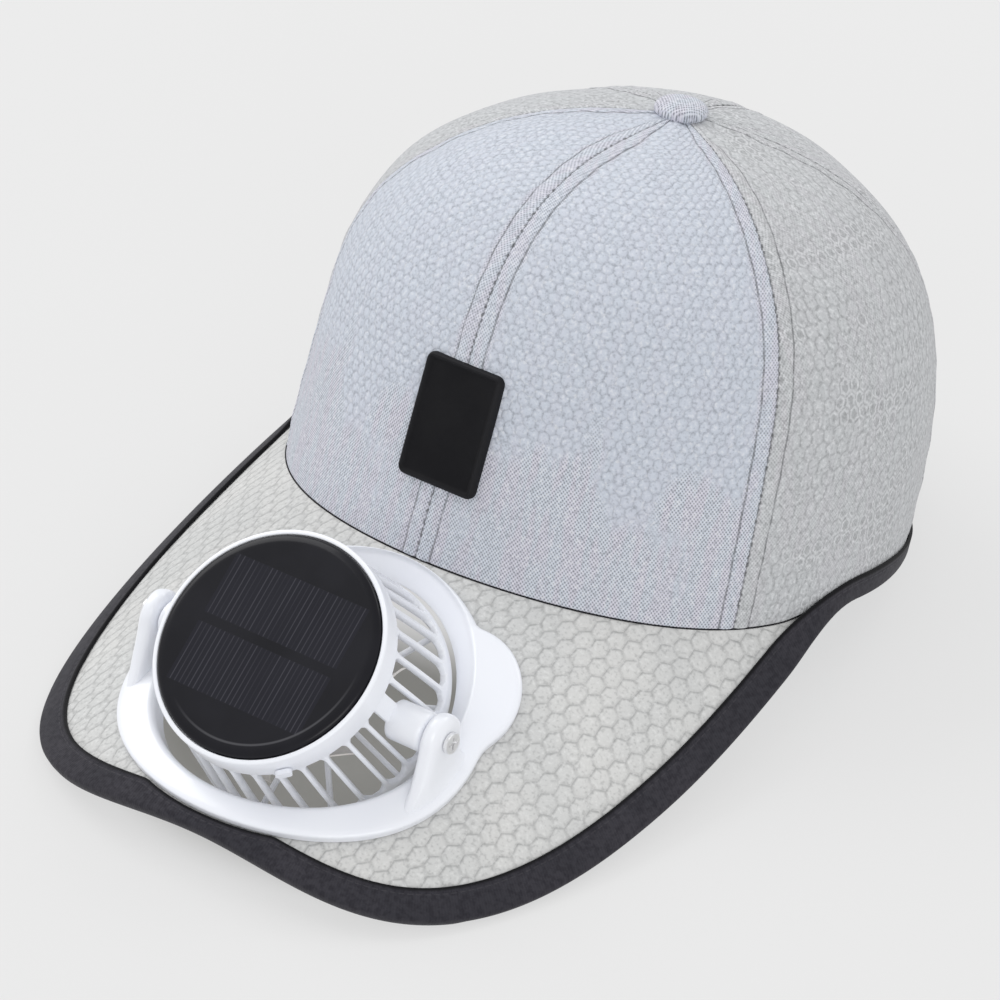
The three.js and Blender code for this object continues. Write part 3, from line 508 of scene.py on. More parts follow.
def edge_tape():
    """One closed band round the brim's edge and the hem.

    Its section is a folded strip: an outer path out and back, and an inner path that returns inside it.
    Sections on the brim and on the hem are joined by cubic curves through matching points.
    """
    outer, inner = 1.15, 0.25
    brim_path = np.array([
        [-1, inner], [-1.0, outer - 0.25], [-0.975, outer], [-0.85, outer],
        [-0.8, outer - 0.12], [-0.77, outer - 0.12], [-0.72, outer], [-0.5, outer],
        [-0.25, outer], [-0.02, outer], [0.45, outer - 0.08], [0.9, outer - 0.45],
        [outer, 0.1], [outer + 0.1, -1.3], [outer, -2.7], [0.8, -3.3], [0.3, -3.65], [-0.3, -2.6 - outer],
        [-1, -2.6 - outer], [-1, -2.6 - inner], [-0.1, -2.6 - inner],
        [inner, -2.3], [inner, -0.3], [-0.1, inner],
    ])
    far = CLOTH_WALL
    hem_path = np.array([
        [inner, 1, 0], [outer - 0.25, 1, 0], [outer, 0.975, 0], [outer, 0.85, 0], [outer - 0.12, 0.8, 0],
        [outer - 0.12, 0.77, 0], [outer, 0.72, 0], [outer, 0.5, 0], [outer, 0.25, 0.3], [outer, 0, 1.0],
        [outer - 0.15, 0, 0.45], [outer - 0.5, 0, 0.1], [outer - 1, 0, 0], [-far / 2, 0, 0],
        [-far - outer + 1.2, 0, 0], [-far - outer + 0.5, 0, 0.1],
        [-far - outer + 0.15, 0, 0.45], [-far - outer, 0, 1.0],
        [-far - outer, 1, 0], [-far - inner, 1, 0], [-far - inner, 0, 1.1], [-far / 2, 0, 0.8],
        [inner - 0.3, 0, 0.8], [inner, 0, 1.1],
    ])
    first = np.arccos(1 - 2 * TAPE_ENDS[0])
    share = 0.5 - 0.5 * np.cos(np.linspace(first, np.pi - first, TAPE_SECTIONS))
    share = mix(share, np.linspace(*TAPE_ENDS, TAPE_SECTIONS), 0.6)
    on_brim = brim_folds(share, brim_path, 0.5)
    angle = np.linspace(np.radians(89), np.radians(271), 190)
    on_hem = hem_folds(angle, hem_path)

    def bridge(a, b):
        t = np.linspace(0, 1, 15)[1:-1, None, None]
        gap = np.linalg.norm(b[0] - a[-1], axis=-1, keepdims=True)
        leave = unit(a[-1] - a[-2]) * gap
        arrive = unit(b[1] - b[0]) * gap
        curve = (2 * t ** 3 - 3 * t ** 2 + 1) * a[-1] + (t ** 3 - 2 * t ** 2 + t) * leave
        return curve + (3 * t ** 2 - 2 * t ** 3) * b[0] + (t ** 3 - t ** 2) * arrive

    out, back = bridge(on_brim, on_hem), bridge(on_hem, on_brim)
    sections = np.concatenate([on_brim, out, on_hem, back, on_brim[:1]])
    sections[..., 2] = np.maximum(sections[..., 2], floor_height(sections[..., 1], 0.15))
    sections = np.concatenate([sections, sections[:, :1]], 1)
    run = run_length(sections[:, TAPE_MAP_POINT])
    across = run_length(sections.swapaxes(0, 1)).T
    uv = np.stack([np.broadcast_to(run[:, None], across.shape), across], -1)
    return surface(world(sections), uv)


# Label

def label_patch():
    """Rounded rectangles about one middle: edge on the cloth, round shoulder, raised border, flat face."""
    rise = rise_at(0.0, np.array(47.0))
    centre = crown_surface(0.0, rise)
    facing = crown_normal(np.array(0.0), rise)
    up = np.cross(facing, [1, 0, 0])
    rings = [
        (0, None), (0, 0.9), (0.25, 1.55), (0.7, 1.95), (1.2, 1.95), (1.6, 1.8),
        (1.9, 1.55), (2.3, 1.5), (6, 1.5), (10, 1.5), (12.6, 1.5),
    ]
    turn = np.linspace(0, 2 * np.pi, 129) + np.pi / 4
    grid = []
    for inset, level in rings:
        half = np.array([13 - inset, 18 - inset])
        corner = max(0.4, 2.5 - inset)
        core = half - corner
        direction = np.stack([np.cos(turn), np.sin(turn)], -1)
        reach = np.clip(direction * 40, -core, core)
        plan = reach + corner * unit(direction * 40 - reach)
        if inset > 12:
            plan = plan * np.array([0, 1])
        angle = np.arcsin(np.clip(plan[:, 0] / (HALF_WIDTH * crown_share("front", rise)), -1, 1))
        at = centre + plan[:, :1] * np.array([1, 0, 0]) + plan[:, 1:] * up
        cloth = crown_surface(angle, rise_at(angle, at[:, 2]))
        depth = (cloth - at) @ facing - 0.4
        height = depth if level is None else np.full(len(plan), float(level))
        grid.append((at + height[:, None] * facing, plan))
    points = np.stack([points for points, _ in grid], 1)
    plan = np.stack([plan for _, plan in grid], 1)
    back = points[:, :1] - facing * 0.8
    back_middle = (centre - facing * 1.6) + 0 * back
    points = np.concatenate([back_middle, back, points], 1)
    plan = np.concatenate([plan[:, :1] * 0, plan[:, :1], plan], 1)
    return surface(world(points), plan)


# Fan frame

def oval(angle, half_width, half_length, forward):
    """A point of an oval round (0, -forward)."""
    return np.stack([half_width * np.cos(angle), half_length * np.sin(angle) - forward], -1)


def ray_reach(ray, half_width, half_length, x, forward):
    """Where a ray from the mouth's middle last leaves an oval: the far root of its quadratic, or 0."""
    start = np.array([-x / half_width, (forward - MOUTH[2]) / half_length])
    step = ray / np.array([half_width, half_length])
    a, b, c = (step ** 2).sum(-1), step @ start, start @ start - 1
    inside = b * b - a * c
    return np.where(inside < 0, 0, (np.sqrt(np.maximum(inside, 0)) - b) / a)


def frame_plate():
    """A rounded section carried round the mouth: plate edge, top, rolled lip, and the funnel's wall."""
    angle = np.linspace(0, 2 * np.pi, 241)
    mouth, throat = oval(angle, *MOUTH), oval(angle, *THROAT)
    ray = unit(mouth + np.array([0, MOUTH[2]]))
    plate = ray_reach(ray, PLATE[0], PLATE[1], 0, PLATE[2])
    lobe = ray_reach(ray, 16.4, 16.4, 37.5, 115)
    reach = (plate ** 40 + lobe ** 40) ** (1 / 40)
    edge = ray * reach[:, None] - np.array([0, MOUTH[2]])
    low, top = 0.35, 3.3
    room = 0.4 * np.linalg.norm(edge - mouth, axis=-1, keepdims=True)
    from_edge, from_mouth = -np.minimum(1.2, room), np.minimum(1.0, room)
    path = [
        (edge, 0.0, low, 0.3), (edge, 0.0, top - 0.5, 0.8), (edge, from_edge, top, 1.2),
        (mouth, from_mouth, top, 1.0), (mouth, 0.0, top - 1.4, 2.4), (throat, 0.0, -2.4, 0.5),
        (throat, 1.5, -2.4, 0.5), (mouth, 1.5, 0.4, 0.3),
        (edge, 0.0, low, 0.0),
    ]
    corners = [place + ray * out for place, out, _, _ in path]
    corners = np.stack([np.concatenate([spot, np.full((len(angle), 1), above)], 1)
                        for spot, (_, _, above, _) in zip(corners, path)], 1)
    rounded = np.stack([round_path(line, [radius for *_, radius in path]) for line in corners])
    points = brim_point(rounded[..., 0], rounded[..., 1], rounded[..., 2])
    return surface(world(points), rounded[..., :2])


def ear_lug(side):
    """A lug that stands on the plate and carries the pivot.

    Its level section is a superellipse. Its half width follows the round top above the pivot and spreads
    with a power of the depth below it. Its half thickness keeps to one size and rounds off near the top.
    Both flare where it meets the plate, more on the outside, and
    nothing passes the plate's rim.
    """
    turn = np.linspace(0, 2 * np.pi, 49)[:, None]
    share = (1 - np.linspace(1, 0, 40) ** 1.5)[None]
    foot = brim_height(EAR_INNER + EAR_THICKNESS, PIVOT[1]) - PIVOT[2]
    height = mix(foot, EAR_RADIUS, share)
    above = np.clip(height / EAR_RADIUS, 0, 1)
    below = np.clip(height / foot, 0, 1)
    spread = mix(EAR_RADIUS, EAR_BASE / 2, below ** 1.7)
    half_width = np.where(height > 0, EAR_RADIUS * np.sqrt(1 - above ** 2), spread)
    flare = np.clip(1 - share / 0.30, 0, 1) ** 2
    half_thickness = EAR_THICKNESS / 2 - 2.2 * (1 - np.sqrt(1 - above ** 4 * 0.96)) + 1.0 * flare
    corner = mix(0.55, 0.95, above)
    across = signed_power(np.cos(turn), corner) * half_thickness + side * 0.7 * flare
    along = signed_power(np.sin(turn), corner) * (half_width + 1.6 * flare)
    y = PIVOT[1] + along
    rim = PLATE[0] * np.sqrt(1 - ((y + PLATE[2]) / PLATE[1]) ** 2) - 0.4
    x = np.minimum(EAR_INNER + EAR_THICKNESS / 2 + side * across, np.maximum(rim, EAR_INNER + 0.6))
    x = side * x
    plate = brim_point(x, y, np.full(x.shape, 2.0))[..., 2]
    z = mix(plate, PIVOT[2] + EAR_RADIUS, (height - foot) / (EAR_RADIUS - foot))
    return surface(world(np.stack([x, y, z], -1)), np.stack([y, z], -1))


# Fan

def rib_radius(z):
    """The ribs' middle line: straight from the skirt's inside to the guard, bowed out by a sine."""
    share = (13 - z) / 29
    return mix(BEZEL - 1.6, GUARD - 1.1, share) + 0.2 * np.sin(np.pi * np.clip(share, 0, 1))


def fan_ribs():
    """Thirty ribs: a rounded bar that widens into an arch at the skirt, and a little at the guard."""
    z = mix(14.2, -15.8, 0.5 - 0.5 * np.cos(np.pi * np.linspace(0, 1, 34)))
    pitch = 2 * np.pi * rib_radius(z) / RIB_COUNT
    parts = []
    turn = np.linspace(0, 2 * np.pi, 13)
    section = np.stack([signed_power(np.cos(turn), 0.6), signed_power(np.sin(turn), 0.6)], -1)
    for k in range(RIB_COUNT):
        rail = k % (RIB_COUNT // 2) == 0
        bar = 6.0 if rail else 1.5
        arch = np.clip((z - 9.8) / 3.4, 0, 1) ** 2.6 + 0.9 * np.clip((-11.6 - z) / 3.2, 0, 1) ** 2.6
        width = bar + np.maximum(pitch - bar, 0) * np.minimum(arch, 1)
        radius = rib_radius(z)[:, None] + section[None, :, 0] * 1.1
        sideways = section[None, :, 1] * width[:, None] / 2
        angle = 2 * np.pi * k / RIB_COUNT
        x = radius * np.cos(angle) - sideways * np.sin(angle)
        y = radius * np.sin(angle) + sideways * np.cos(angle)
        points = np.stack([x, y, np.broadcast_to(z[:, None], x.shape)], -1)
        first, last = (end.mean(1, keepdims=True) + 0 * end for end in (points[:1], points[-1:]))
        points = np.concatenate([first, points, last])
        parts.append(surface(fan_world(points), points[..., [0, 2]]))
    return parts


def cross_round(profile, side, columns=32):
    """A profile of (radius, distance along X) carried round the pivot's axis on one side."""
    turn = np.linspace(0, 2 * np.pi, columns + 1)[:, None]
    radius, along = np.asarray(profile, float).T
    points = np.stack([side * along + 0 * turn, radius * np.cos(turn), radius * np.sin(turn)], -1)
    return surface(fan_world(points), points[..., 1:])


def housing_parts():
    """Cap, skirt and motor as one turned wall; guard ring, boss, spokes and trunnions beside it."""
    cap = round_path([
        [0, -8.6], [1.2, -8.6], [1.2, 4.2], [7.4, 4.2], [7.4, 16.6], [33.0, 16.6], [33.0, 13.0],
        [BEZEL, 13.0], [BEZEL, 20.9], [33.1, 20.9], [33.1, 19.0], [0, 19.0],
    ], [0, 0.3, 0, 0.8, 0.4, 0.4, 0.2, 0.3, 0.75, 0.45, 0.15, 0])
    ring = round_path([
        [36.0, -17.6], [36.0, -19.2], [GUARD, -19.2], [GUARD, -14.6], [36.0, -14.6], [36.0, -17.6],
    ], [0, 0.6, 0.9, 0.9, 0.6, 0])
    boss = round_path([[0, -19.2], [8, -19.2], [8, -16.96], [0, -16.96]], [0, 0.7, 0.7, 0])
    parts = [lathe(cap, 128, fan_world), lathe(ring, 128, fan_world), lathe(boss, 48, fan_world)]
    parts += fan_ribs()
    turn = np.linspace(0, 2 * np.pi, 11)
    for k in range(SPOKE_COUNT):
        angle = 2 * np.pi * (k + 0.5) / SPOKE_COUNT
        along = np.linspace(7.2, 37.1, 9)[:, None]
        across = SPOKE_HALF * signed_power(np.cos(turn), 0.6)[None]
        height = SPOKE_LEVEL + SPOKE_HALF * signed_power(np.sin(turn), 0.6)[None]
        x = along * np.cos(angle) - across * np.sin(angle)
        y = along * np.sin(angle) + across * np.cos(angle)
        points = np.stack([x, y, height + 0 * along], -1)
        parts.append(surface(fan_world(points), points[..., :2]))
    trunnion = round_path([
        [0, 34.2], [5.8, 34.2], [5.8, 45.7], [1.8, 45.7], [1.8, 36.2], [0, 36.2],
    ], [0, 0.3, 2.4, 0.3, 0.2, 0])
    for side in (1, -1):
        parts.append(cross_round(trunnion, side))
    return parts


def solar_disc():
    """A flat disc whose rim falls as a quarter ellipse to its edge."""
    turn = np.linspace(0, np.pi / 2, 10)
    rim = np.stack([30.2 + 2.6 * np.sin(turn), 20.9 + 1.2 * np.cos(turn)], 1)
    face = [[0, 22.1], [15, 22.1], [26, 22.1], [29.4, 22.1]]
    profile = np.concatenate([face, rim, [[32.8, 19.4], [32.6, 19.3], [0, 19.3]]])
    return lathe(profile, 160, fan_world)


def rotor_parts():
    """A hub and seven blades. A blade's chord swings by its sweep and drops with a power of its share."""
    hub = round_path([
        [0, -11], [9.5, -11], [9.5, 12.4], [8.2, 12.4], [8.2, 3.4], [1.5, 3.4], [1.5, -9.8], [0, -9.8],
    ], [0, 2.4, 0.5, 0.4, 0.2, 0.2, 0, 0])
    parts = [lathe(hub, 72, fan_world)]
    u, v = np.meshgrid(np.linspace(0, 1, 22), np.linspace(0, 1, 22), indexing="ij")
    radius = mix(*BLADE_REACH, u)
    chord = (v - 0.5) * BLADE_SWEEP * (1 - 0.25 * u)
    round_off = 1 - 0.16 * smooth_step(u, 0.82, 1) * (2 * v - 1) ** 2
    for k in range(BLADE_COUNT):
        swing = 2 * np.pi * k / BLADE_COUNT + chord * round_off + 0.3 * u * u
        thick = 0.55 * np.sqrt(np.clip(1 - (2 * v - 1) ** 6, 0.05, 1))
        level = BLADE_LEVEL[0] - BLADE_LEVEL[1] * v ** 1.3
        sheet = lambda out: np.stack([radius * np.cos(swing), radius * np.sin(swing), level + out], -1)
        uv = np.stack([radius, 30 * v], -1)
        parts.append(wall(fan_world(sheet(thick)), fan_world(sheet(-thick)), uv=uv))
    return parts


# Finishes

class Value:
    """One socket of a finish. The signs + - * / add Math nodes, on either side of a plain number."""

    def __init__(self, finish, socket):
        self.finish = finish
        self.socket = socket

    def math(self, kind, *others):
        values = dict(enumerate((self,) + others))
        return self.finish.node("ShaderNodeMath", {"operation": kind}, values)

    def __add__(self, other):
        return self.math("ADD", other)

    __radd__ = __add__

    def __sub__(self, other):
        return self.math("SUBTRACT", other)

    def __rsub__(self, other):
        return self.math("MULTIPLY_ADD", -1.0, other)

    def __mul__(self, other):
        return self.math("MULTIPLY", other)

    __rmul__ = __mul__

    def __truediv__(self, other):
        return self.math("DIVIDE", other)

    def __abs__(self):
        return self.math("ABSOLUTE")

    def fraction(self):
        return self.math("FRACT")

    def power(self, other):
        return self.math("POWER", other)

    def sine(self):
        return self.math("SINE")

    def least(self, other):
        return self.math("MINIMUM", other)

    def most(self, other):
        return self.math("MAXIMUM", other)

    def rising(self, low, high):
        """0 below low, 1 above high, smooth between."""
        inputs = {0: self, 1: low, 2: high, 3: 0.0, 4: 1.0}
        return self.finish.node("ShaderNodeMapRange", {"interpolation_type": "SMOOTHSTEP"}, inputs)


class Finish:
    """A procedural material: its nodes, its map in mm, and its one surface shader."""

    def __init__(self, name):
        self.material = bpy.data.materials.new(name)
        self.material.use_nodes = True
        self.tree = self.material.node_tree
        self.tree.nodes.clear()

    def node(self, kind, settings=None, inputs=None, output=0):
        """A node of a kind: its settings are set first, then its sockets' values or links."""
        made = self.tree.nodes.new(kind)
        for key, value in (settings or {}).items():
            setattr(made, key, value)
        for key, value in (inputs or {}).items():
            if isinstance(value, Value):
                self.tree.links.new(value.socket, made.inputs[key])
            else:
                made.inputs[key].default_value = value
        return Value(self, made.outputs[output])

    def map(self):
        """The piece's own map, as its two numbers in mm."""
        place = self.node("ShaderNodeUVMap", {"uv_map": "map"})
        split = self.node("ShaderNodeSeparateXYZ", None, {0: place})
        return split, Value(self, split.socket.node.outputs[1])

    def plan(self):
        """The object's own X and Y in metres."""
        place = self.node("ShaderNodeTexCoord", None, None, 3)
        split = self.node("ShaderNodeSeparateXYZ", None, {0: place})
        return split, Value(self, split.socket.node.outputs[1])

    def number(self, name):
        """A named value of the piece's points."""
        return self.node("ShaderNodeAttribute", {"attribute_name": name}, None, 2)

    def noise(self, scale, detail=2.0, rough=0.5, stretch=(1, 1, 1)):
        """Soft random variation about 0.5 over the object, with features about 1/scale metres wide."""
        place = self.node("ShaderNodeTexCoord", None, None, 3)
        spot = self.node("ShaderNodeMapping", None, {0: place, 3: stretch})
        inputs = {"Vector": spot, "Scale": scale, "Detail": detail, "Roughness": rough}
        return self.node("ShaderNodeTexNoise", None, inputs)

    def flat_noise(self, across, along, detail):
        """Soft random variation about 0.5 over two numbers, with one feature to each unit of them."""
        place = self.node("ShaderNodeCombineXYZ", None, {0: across, 1: along, 2: 0.0})
        settings = {"noise_dimensions": "2D"}
        return self.node("ShaderNodeTexNoise", settings, {"Vector": place, "Scale": 1.0, "Detail": detail})

    def blend(self, share, a, b):
        """A colour between a and b, each a Value or three numbers."""
        full = [c if isinstance(c, Value) else (*c, 1) for c in (a, b)]
        return self.node("ShaderNodeMix", {"data_type": "RGBA"}, {0: share, 6: full[0], 7: full[1]}, 2)

    def bump(self, height, distance, strength=1.0):
        """A normal from a height of 0 to 1 that stands for a distance in mm."""
        inputs = {"Height": height, "Distance": distance / 1000, "Strength": strength}
        return self.node("ShaderNodeBump", None, inputs)

    def done(self, **sockets):
        """The surface shader with its sockets set, joined to the output."""
        named = {}
        for key, value in sockets.items():
            colour = isinstance(value, tuple) and len(value) == 3
            named[key.replace("_", " ").title().replace("Ior", "IOR")] = (*value, 1) if colour else value
        shader = self.node("ShaderNodeBsdfPrincipled", None, named)
        out = self.tree.nodes.new("ShaderNodeOutputMaterial")
        self.tree.links.new(shader.socket, out.inputs["Surface"])
        return self.material


def honeycomb(x, y, width, row_pitch, toward):
    """A staggered six-sided lattice: how far out of its cell a place is, and on which side of the cell.

    The lattice is two rectangular ones, half a period apart. In one, with x and y in half widths from the
    cell's middle, the distance is the larger of x and x/2 + 0.866 y: 0 in the middle and 1 on the border.
    The nearer lattice is kept. The side is the place's share towards a direction, from -1 to 1.
    """
    period = 2 * row_pitch

    def cell(shift):
        across = ((x / width + shift).fraction() - 0.5) * 2
        along = ((y / period + shift).fraction() - 0.5) * (2 * 3 ** 0.5)
        distance = abs(across).most(abs(across) * 0.5 + abs(along) * 0.866)
        return distance, across * toward[0] + along * toward[1]

    (near, near_side), (other, other_side) = cell(0.0), cell(0.5)
    picked = other.math("LESS_THAN", near)
    return near.least(other), near_side + (other_side - near_side) * picked


def weave(x, y, across, along):
    """Staggered dots from 0 to 1: the product of two sines, whose dots lie twice across apart in a row."""
    return (x * (np.pi / across)).sine() * (y * (np.pi / along)).sine() * 0.5 + 0.5


def stitches(seam, run, line, half, pitch, share):
    """A dashed thread on a line: 1 within half a width of it, where the run is in the dash's share."""
    on_line = 1 - abs(seam - line).rising(half * 0.5, half)
    dash = 1 - abs((run / pitch).fraction() - 0.5).rising(share / 2 - 0.1, share / 2 + 0.04)
    return on_line * dash


def crown_finish(name, cool, warm, looks):
    """Mesh cloth with stitched seams. Every pattern's place is bent by slow noise, so no row runs straight.

    Where the weave shows, in patches with ragged borders, dark dots lie between threads, and streaks go from
    a cool to a warm tone. Elsewhere the cloth has faint cells, outlined with painted shade that is darkest on
    one side of each cell, or long upright ribs, under random flecks.
    Some patches of cells have grey middles, painted shade of the crown's inside seen through open mesh, in
    light rings.
    """
    made = Finish(name)
    x, y = made.map()
    seam = made.number("seam")
    bend_x = made.flat_noise(x * 0.16, y * 0.16, 1.0) - 0.5
    bend_y = made.flat_noise(x * 0.16 + 31.0, y * 0.16 + 17.0, 1.0) - 0.5
    h, side = honeycomb(x + bend_x * 1.5, y + bend_y * 1.5, looks["cell"], looks["row"], (-1.0, 0.35))
    slow_bend = made.flat_noise(x * 0.07, y * 0.05, 2.0)
    rib = ((x + slow_bend * 12.0) * (2 * np.pi / 1.9)).sine() * 0.5 + 0.5
    dots = weave(x + y * 0.12 + bend_x * 0.5, y, 0.52, 0.62)
    streak = made.flat_noise(x * 0.30, y * 0.05, 2.0)
    patch = made.flat_noise(x * 0.030, y * 0.024, 4.0)
    open_mesh_shade_noise = made.flat_noise(x * 0.045 + 7.3, y * 0.06 + 3.1, 1.5)
    grain = made.noise(520, 2.0, 0.6)
    fleck = made.noise(1000, 1.0, 0.6)
    weave_share = (patch + (34 - y) * looks["weave_fall"]).rising(0.43, 0.57) * looks["weave"]
    near_seam = 1 - seam.rising(5.0, 6.5)
    weave_share = weave_share.most(near_seam * looks["seam_weave"])
    open_share = 1 - weave_share * 0.85
    dark = tuple(c * 0.30 for c in cool)
    pale = (0.84, 0.85, 0.87)
    colour = made.blend(streak.rising(0.40, 0.62) * (0.15 + weave_share * 0.85), cool, warm)
    colour = made.blend(dots.rising(0.54, 0.92) * weave_share * 0.86, colour, dark)
    colour = made.blend((1 - dots.rising(0.05, 0.45)) * weave_share * 0.45, colour, pale)
    # painted shade: cell outlines darkened most on one side of each cell (side near 1)
    shade = h.rising(0.66, 0.97) * (0.40 + 0.6 * side.rising(-0.3, 0.9)) * open_share * looks["outline"]
    colour = made.blend(shade, colour, dark)
    colour = made.blend((1 - rib) * open_share * looks["rib"] * 0.30, colour, dark)
    # painted shade: grey middles in patches of cells stand for the shaded inside of the crown seen through
    # open mesh; the light rings are the net's threads
    oval = open_mesh_shade_noise.rising(0.56, 0.62) * looks["oval"]
    colour = made.blend((1 - h.rising(0.45, 0.62)) * oval, colour, dark)
    colour = made.blend(h.rising(0.55, 0.72) * (1 - h.rising(0.82, 0.95)) * oval * 0.7, colour, pale)
    colour = made.blend(fleck.rising(0.52, 0.74) * 0.34, colour, dark)
    colour = made.blend((1 - fleck.rising(0.26, 0.46)) * 0.38, colour, pale)
    ragged = grain.rising(0.30, 0.62)
    line = (1 - abs(seam - STITCH_OFFSET).rising(0.15, 0.36)) * (0.26 + ragged * 0.40)
    middle = stitches(seam, y + slow_bend * 9.0, 0.0, 0.62, 2.3, 0.55) * (0.25 + ragged * 0.55)
    colour = made.blend((1 - seam.rising(0.0, 0.5)) * 0.3, colour, dark)
    colour = made.blend(line.most(middle), colour, (0.11, 0.115, 0.12))
    relief = (1 - h.power(2.4)) * (1 - looks["rib"]) + rib * looks["rib"]
    height = relief * open_share * 0.7 + dots * weave_share * 0.18 + fleck * 0.16
    height = height + bend_x * 0.3 - line * 0.5
    return made.done(
        base_color=colour,
        roughness=0.9 - line * 0.15,
        normal=made.bump(height, 0.42, 1.0),
        sheen_weight=0.12,
        specular_ior_level=0.2,
    )


def brim_finish():
    """Raised pale cells in slanting staggered rows, outlined, with painted shade that makes each outline
    darkest on one side, under fine flecks.
    """
    made = Finish("brim mesh cloth")
    x, y = made.map()
    bend_x = made.flat_noise(x * 0.14, y * 0.14, 1.0) - 0.5
    bend_y = made.flat_noise(x * 0.14 + 31.0, y * 0.14 + 17.0, 1.0) - 0.5
    along = x * 0.342 + y * 0.940 + bend_x * 1.2
    across = x * 0.940 - y * 0.342 + bend_y * 1.2
    h, side = honeycomb(along, across, 5.85, 3.9, (0.0, -1.0))
    patch = made.flat_noise(x * 0.028, y * 0.028, 2.0)
    unevenness = made.flat_noise(x * 0.30, y * 0.30, 2.0)
    fleck = made.noise(900, 1.0, 0.6)
    dark, pale = (0.25, 0.255, 0.255), (0.82, 0.825, 0.82)
    colour = made.blend(patch.rising(0.35, 0.65), (0.655, 0.655, 0.645), (0.61, 0.615, 0.61))
    # cell outlines plus painted shade: each outline is darkened most on one side of its cell (side near 1)
    arc = h.rising(0.70, 0.95) * (0.34 + 0.66 * side.rising(-0.2, 0.95)) * (0.4 + 0.9 * unevenness)
    colour = made.blend(arc * 0.58, colour, dark)
    colour = made.blend(fleck.rising(0.52, 0.74) * 0.30, colour, dark)
    colour = made.blend((1 - fleck.rising(0.26, 0.46)) * 0.35, colour, pale)
    height = (1 - h.power(2.6)) * 0.8 + fleck * 0.16 + unevenness * 0.2
    return made.done(
        base_color=colour,
        roughness=0.88,
        normal=made.bump(height, 0.34, 1.0),
        sheen_weight=0.1,
        specular_ior_level=0.2,
    )


def tape_finish():
    """Charcoal tape with a faint cross rib, a near-black inner edge and one faint line of stitches."""
    made = Finish("charcoal tape")
    x, y = made.map()
    rib = (x * 7.5).sine() * 0.5 + 0.5
    grain = made.noise(620, 2.0, 0.6)
    slow = made.noise(60, 2.0, 0.5)
    edge = 1 - y.rising(1.2, 2.2)
    thread = stitches(y, x, 2.9, 0.26, 2.6, 0.72)
    colour = made.blend(slow.rising(0.35, 0.7), (0.036, 0.035, 0.043), (0.044, 0.042, 0.051))
    colour = made.blend(rib * 0.12 + grain.rising(0.35, 0.7) * 0.5, colour, (0.012, 0.011, 0.016))
    colour = made.blend(edge * 0.93, colour, (0.003, 0.003, 0.004))
    colour = made.blend(thread * 0.25, colour, (0.075, 0.073, 0.082))
    height = rib * 0.2 + grain * 0.35 + thread * 0.4
    return made.done(
        base_color=colour,
        roughness=0.84 - thread * 0.1,
        normal=made.bump(height, 0.2, 0.7),
        sheen_weight=0.08,
        specular_ior_level=0.15,
    )


def rubber_finish():
    """Black moulded rubber: a fine grain, faintly lighter along its border."""
    made = Finish("black moulded rubber")
    x, y = made.map()
    grain = made.noise(900, 2.0, 0.6)
    slow = made.noise(70, 2.0, 0.5)
    border = abs(x).rising(11.2, 12.2).most(abs(y).rising(16.2, 17.2))
    colour = made.blend(slow.rising(0.35, 0.7), (0.0050, 0.0050, 0.0065), (0.0075, 0.0075, 0.009))
    colour = made.blend(border * (0.2 + 0.4 * grain), colour, (0.024, 0.024, 0.027))
    return made.done(
        base_color=colour,
        roughness=0.5 + grain * 0.2,
        normal=made.bump(grain, 0.05, 0.5),
        specular_ior_level=0.14,
    )


def plastic_finish(name, colour, shade, rough, coat):
    """Moulded plastic: near even in tone, faint orange-peel in the gloss, slightly duller patches."""
    made = Finish(name)
    slow = made.noise(30, 2.0, 0.5)
    peel = made.noise(260, 1.0, 0.4)
    dust = made.noise(120, 3.0, 0.65)
    tone = made.blend(slow.rising(0.3, 0.7), colour, shade)
    return made.done(
        base_color=tone,
        roughness=rough + dust * 0.08,
        normal=made.bump(peel, 0.02, 0.35),
        coat_weight=coat,
        coat_roughness=0.12,
        specular_ior_level=0.5,
    )


def solar_finish():
    """Black cells under clear resin: two bands of thin lines, and a painted highlight arc just inside the rim
    on one side.
    """
    made = Finish("solar cells under resin")
    x, y = made.map()
    along = made.noise(60, 2.0, 0.5)
    streak = made.flat_noise(x * 0.6, y * 0.02, 1.0).rising(0.35, 0.65)
    line = 1 - abs((x / 1.6).fraction() - 0.5).rising(0.04, 0.13)
    upper = y.rising(1.3, 1.6) * (1 - y.rising(19.8, 20.2))
    lower = (0 - y).rising(1.3, 1.6) * (1 - (0 - y).rising(19.3, 19.7))
    band = (upper + lower) * (1 - abs(x).rising(22.6, 23.0))
    cell = band * 0.5
    colour = made.blend(along.rising(0.3, 0.7), (0.0065, 0.0065, 0.0095), (0.010, 0.010, 0.014))
    colour = made.blend(cell, colour, (0.017, 0.017, 0.026))
    colour = made.blend(line * band * (0.12 + 0.5 * streak), colour, (0.070, 0.070, 0.085))
    radius = (x * x + y * y).power(0.5)
    # painted highlight: a lighter arc just inside the rim, strongest towards (0.5, -0.86) in the disc's plan
    toward = (x * 0.5 - y * 0.86) / 29.6
    arc = (1 - abs(radius - 29.4).rising(0.1, 0.5)) * toward.rising(0.35, 0.95)
    colour = made.blend(arc * 0.6, colour, (0.10, 0.10, 0.11))
    return made.done(
        base_color=colour,
        roughness=0.32 - band * 0.05,
        coat_weight=0.2,
        coat_roughness=0.12,
        specular_ior_level=0.1,
    )


def steel_finish():
    """Bright steel with fine turning marks."""
    made = Finish("screw steel")
    marks = made.noise(1500, 2.0, 0.6, (1, 0.15, 0.15))
    tone = made.blend(marks.rising(0.3, 0.7), (0.86, 0.86, 0.87), (0.93, 0.93, 0.94))
    normal = made.bump(marks, 0.02, 0.4)
    return made.done(base_color=tone, metallic=1.0, roughness=0.32 + marks * 0.12, normal=normal)


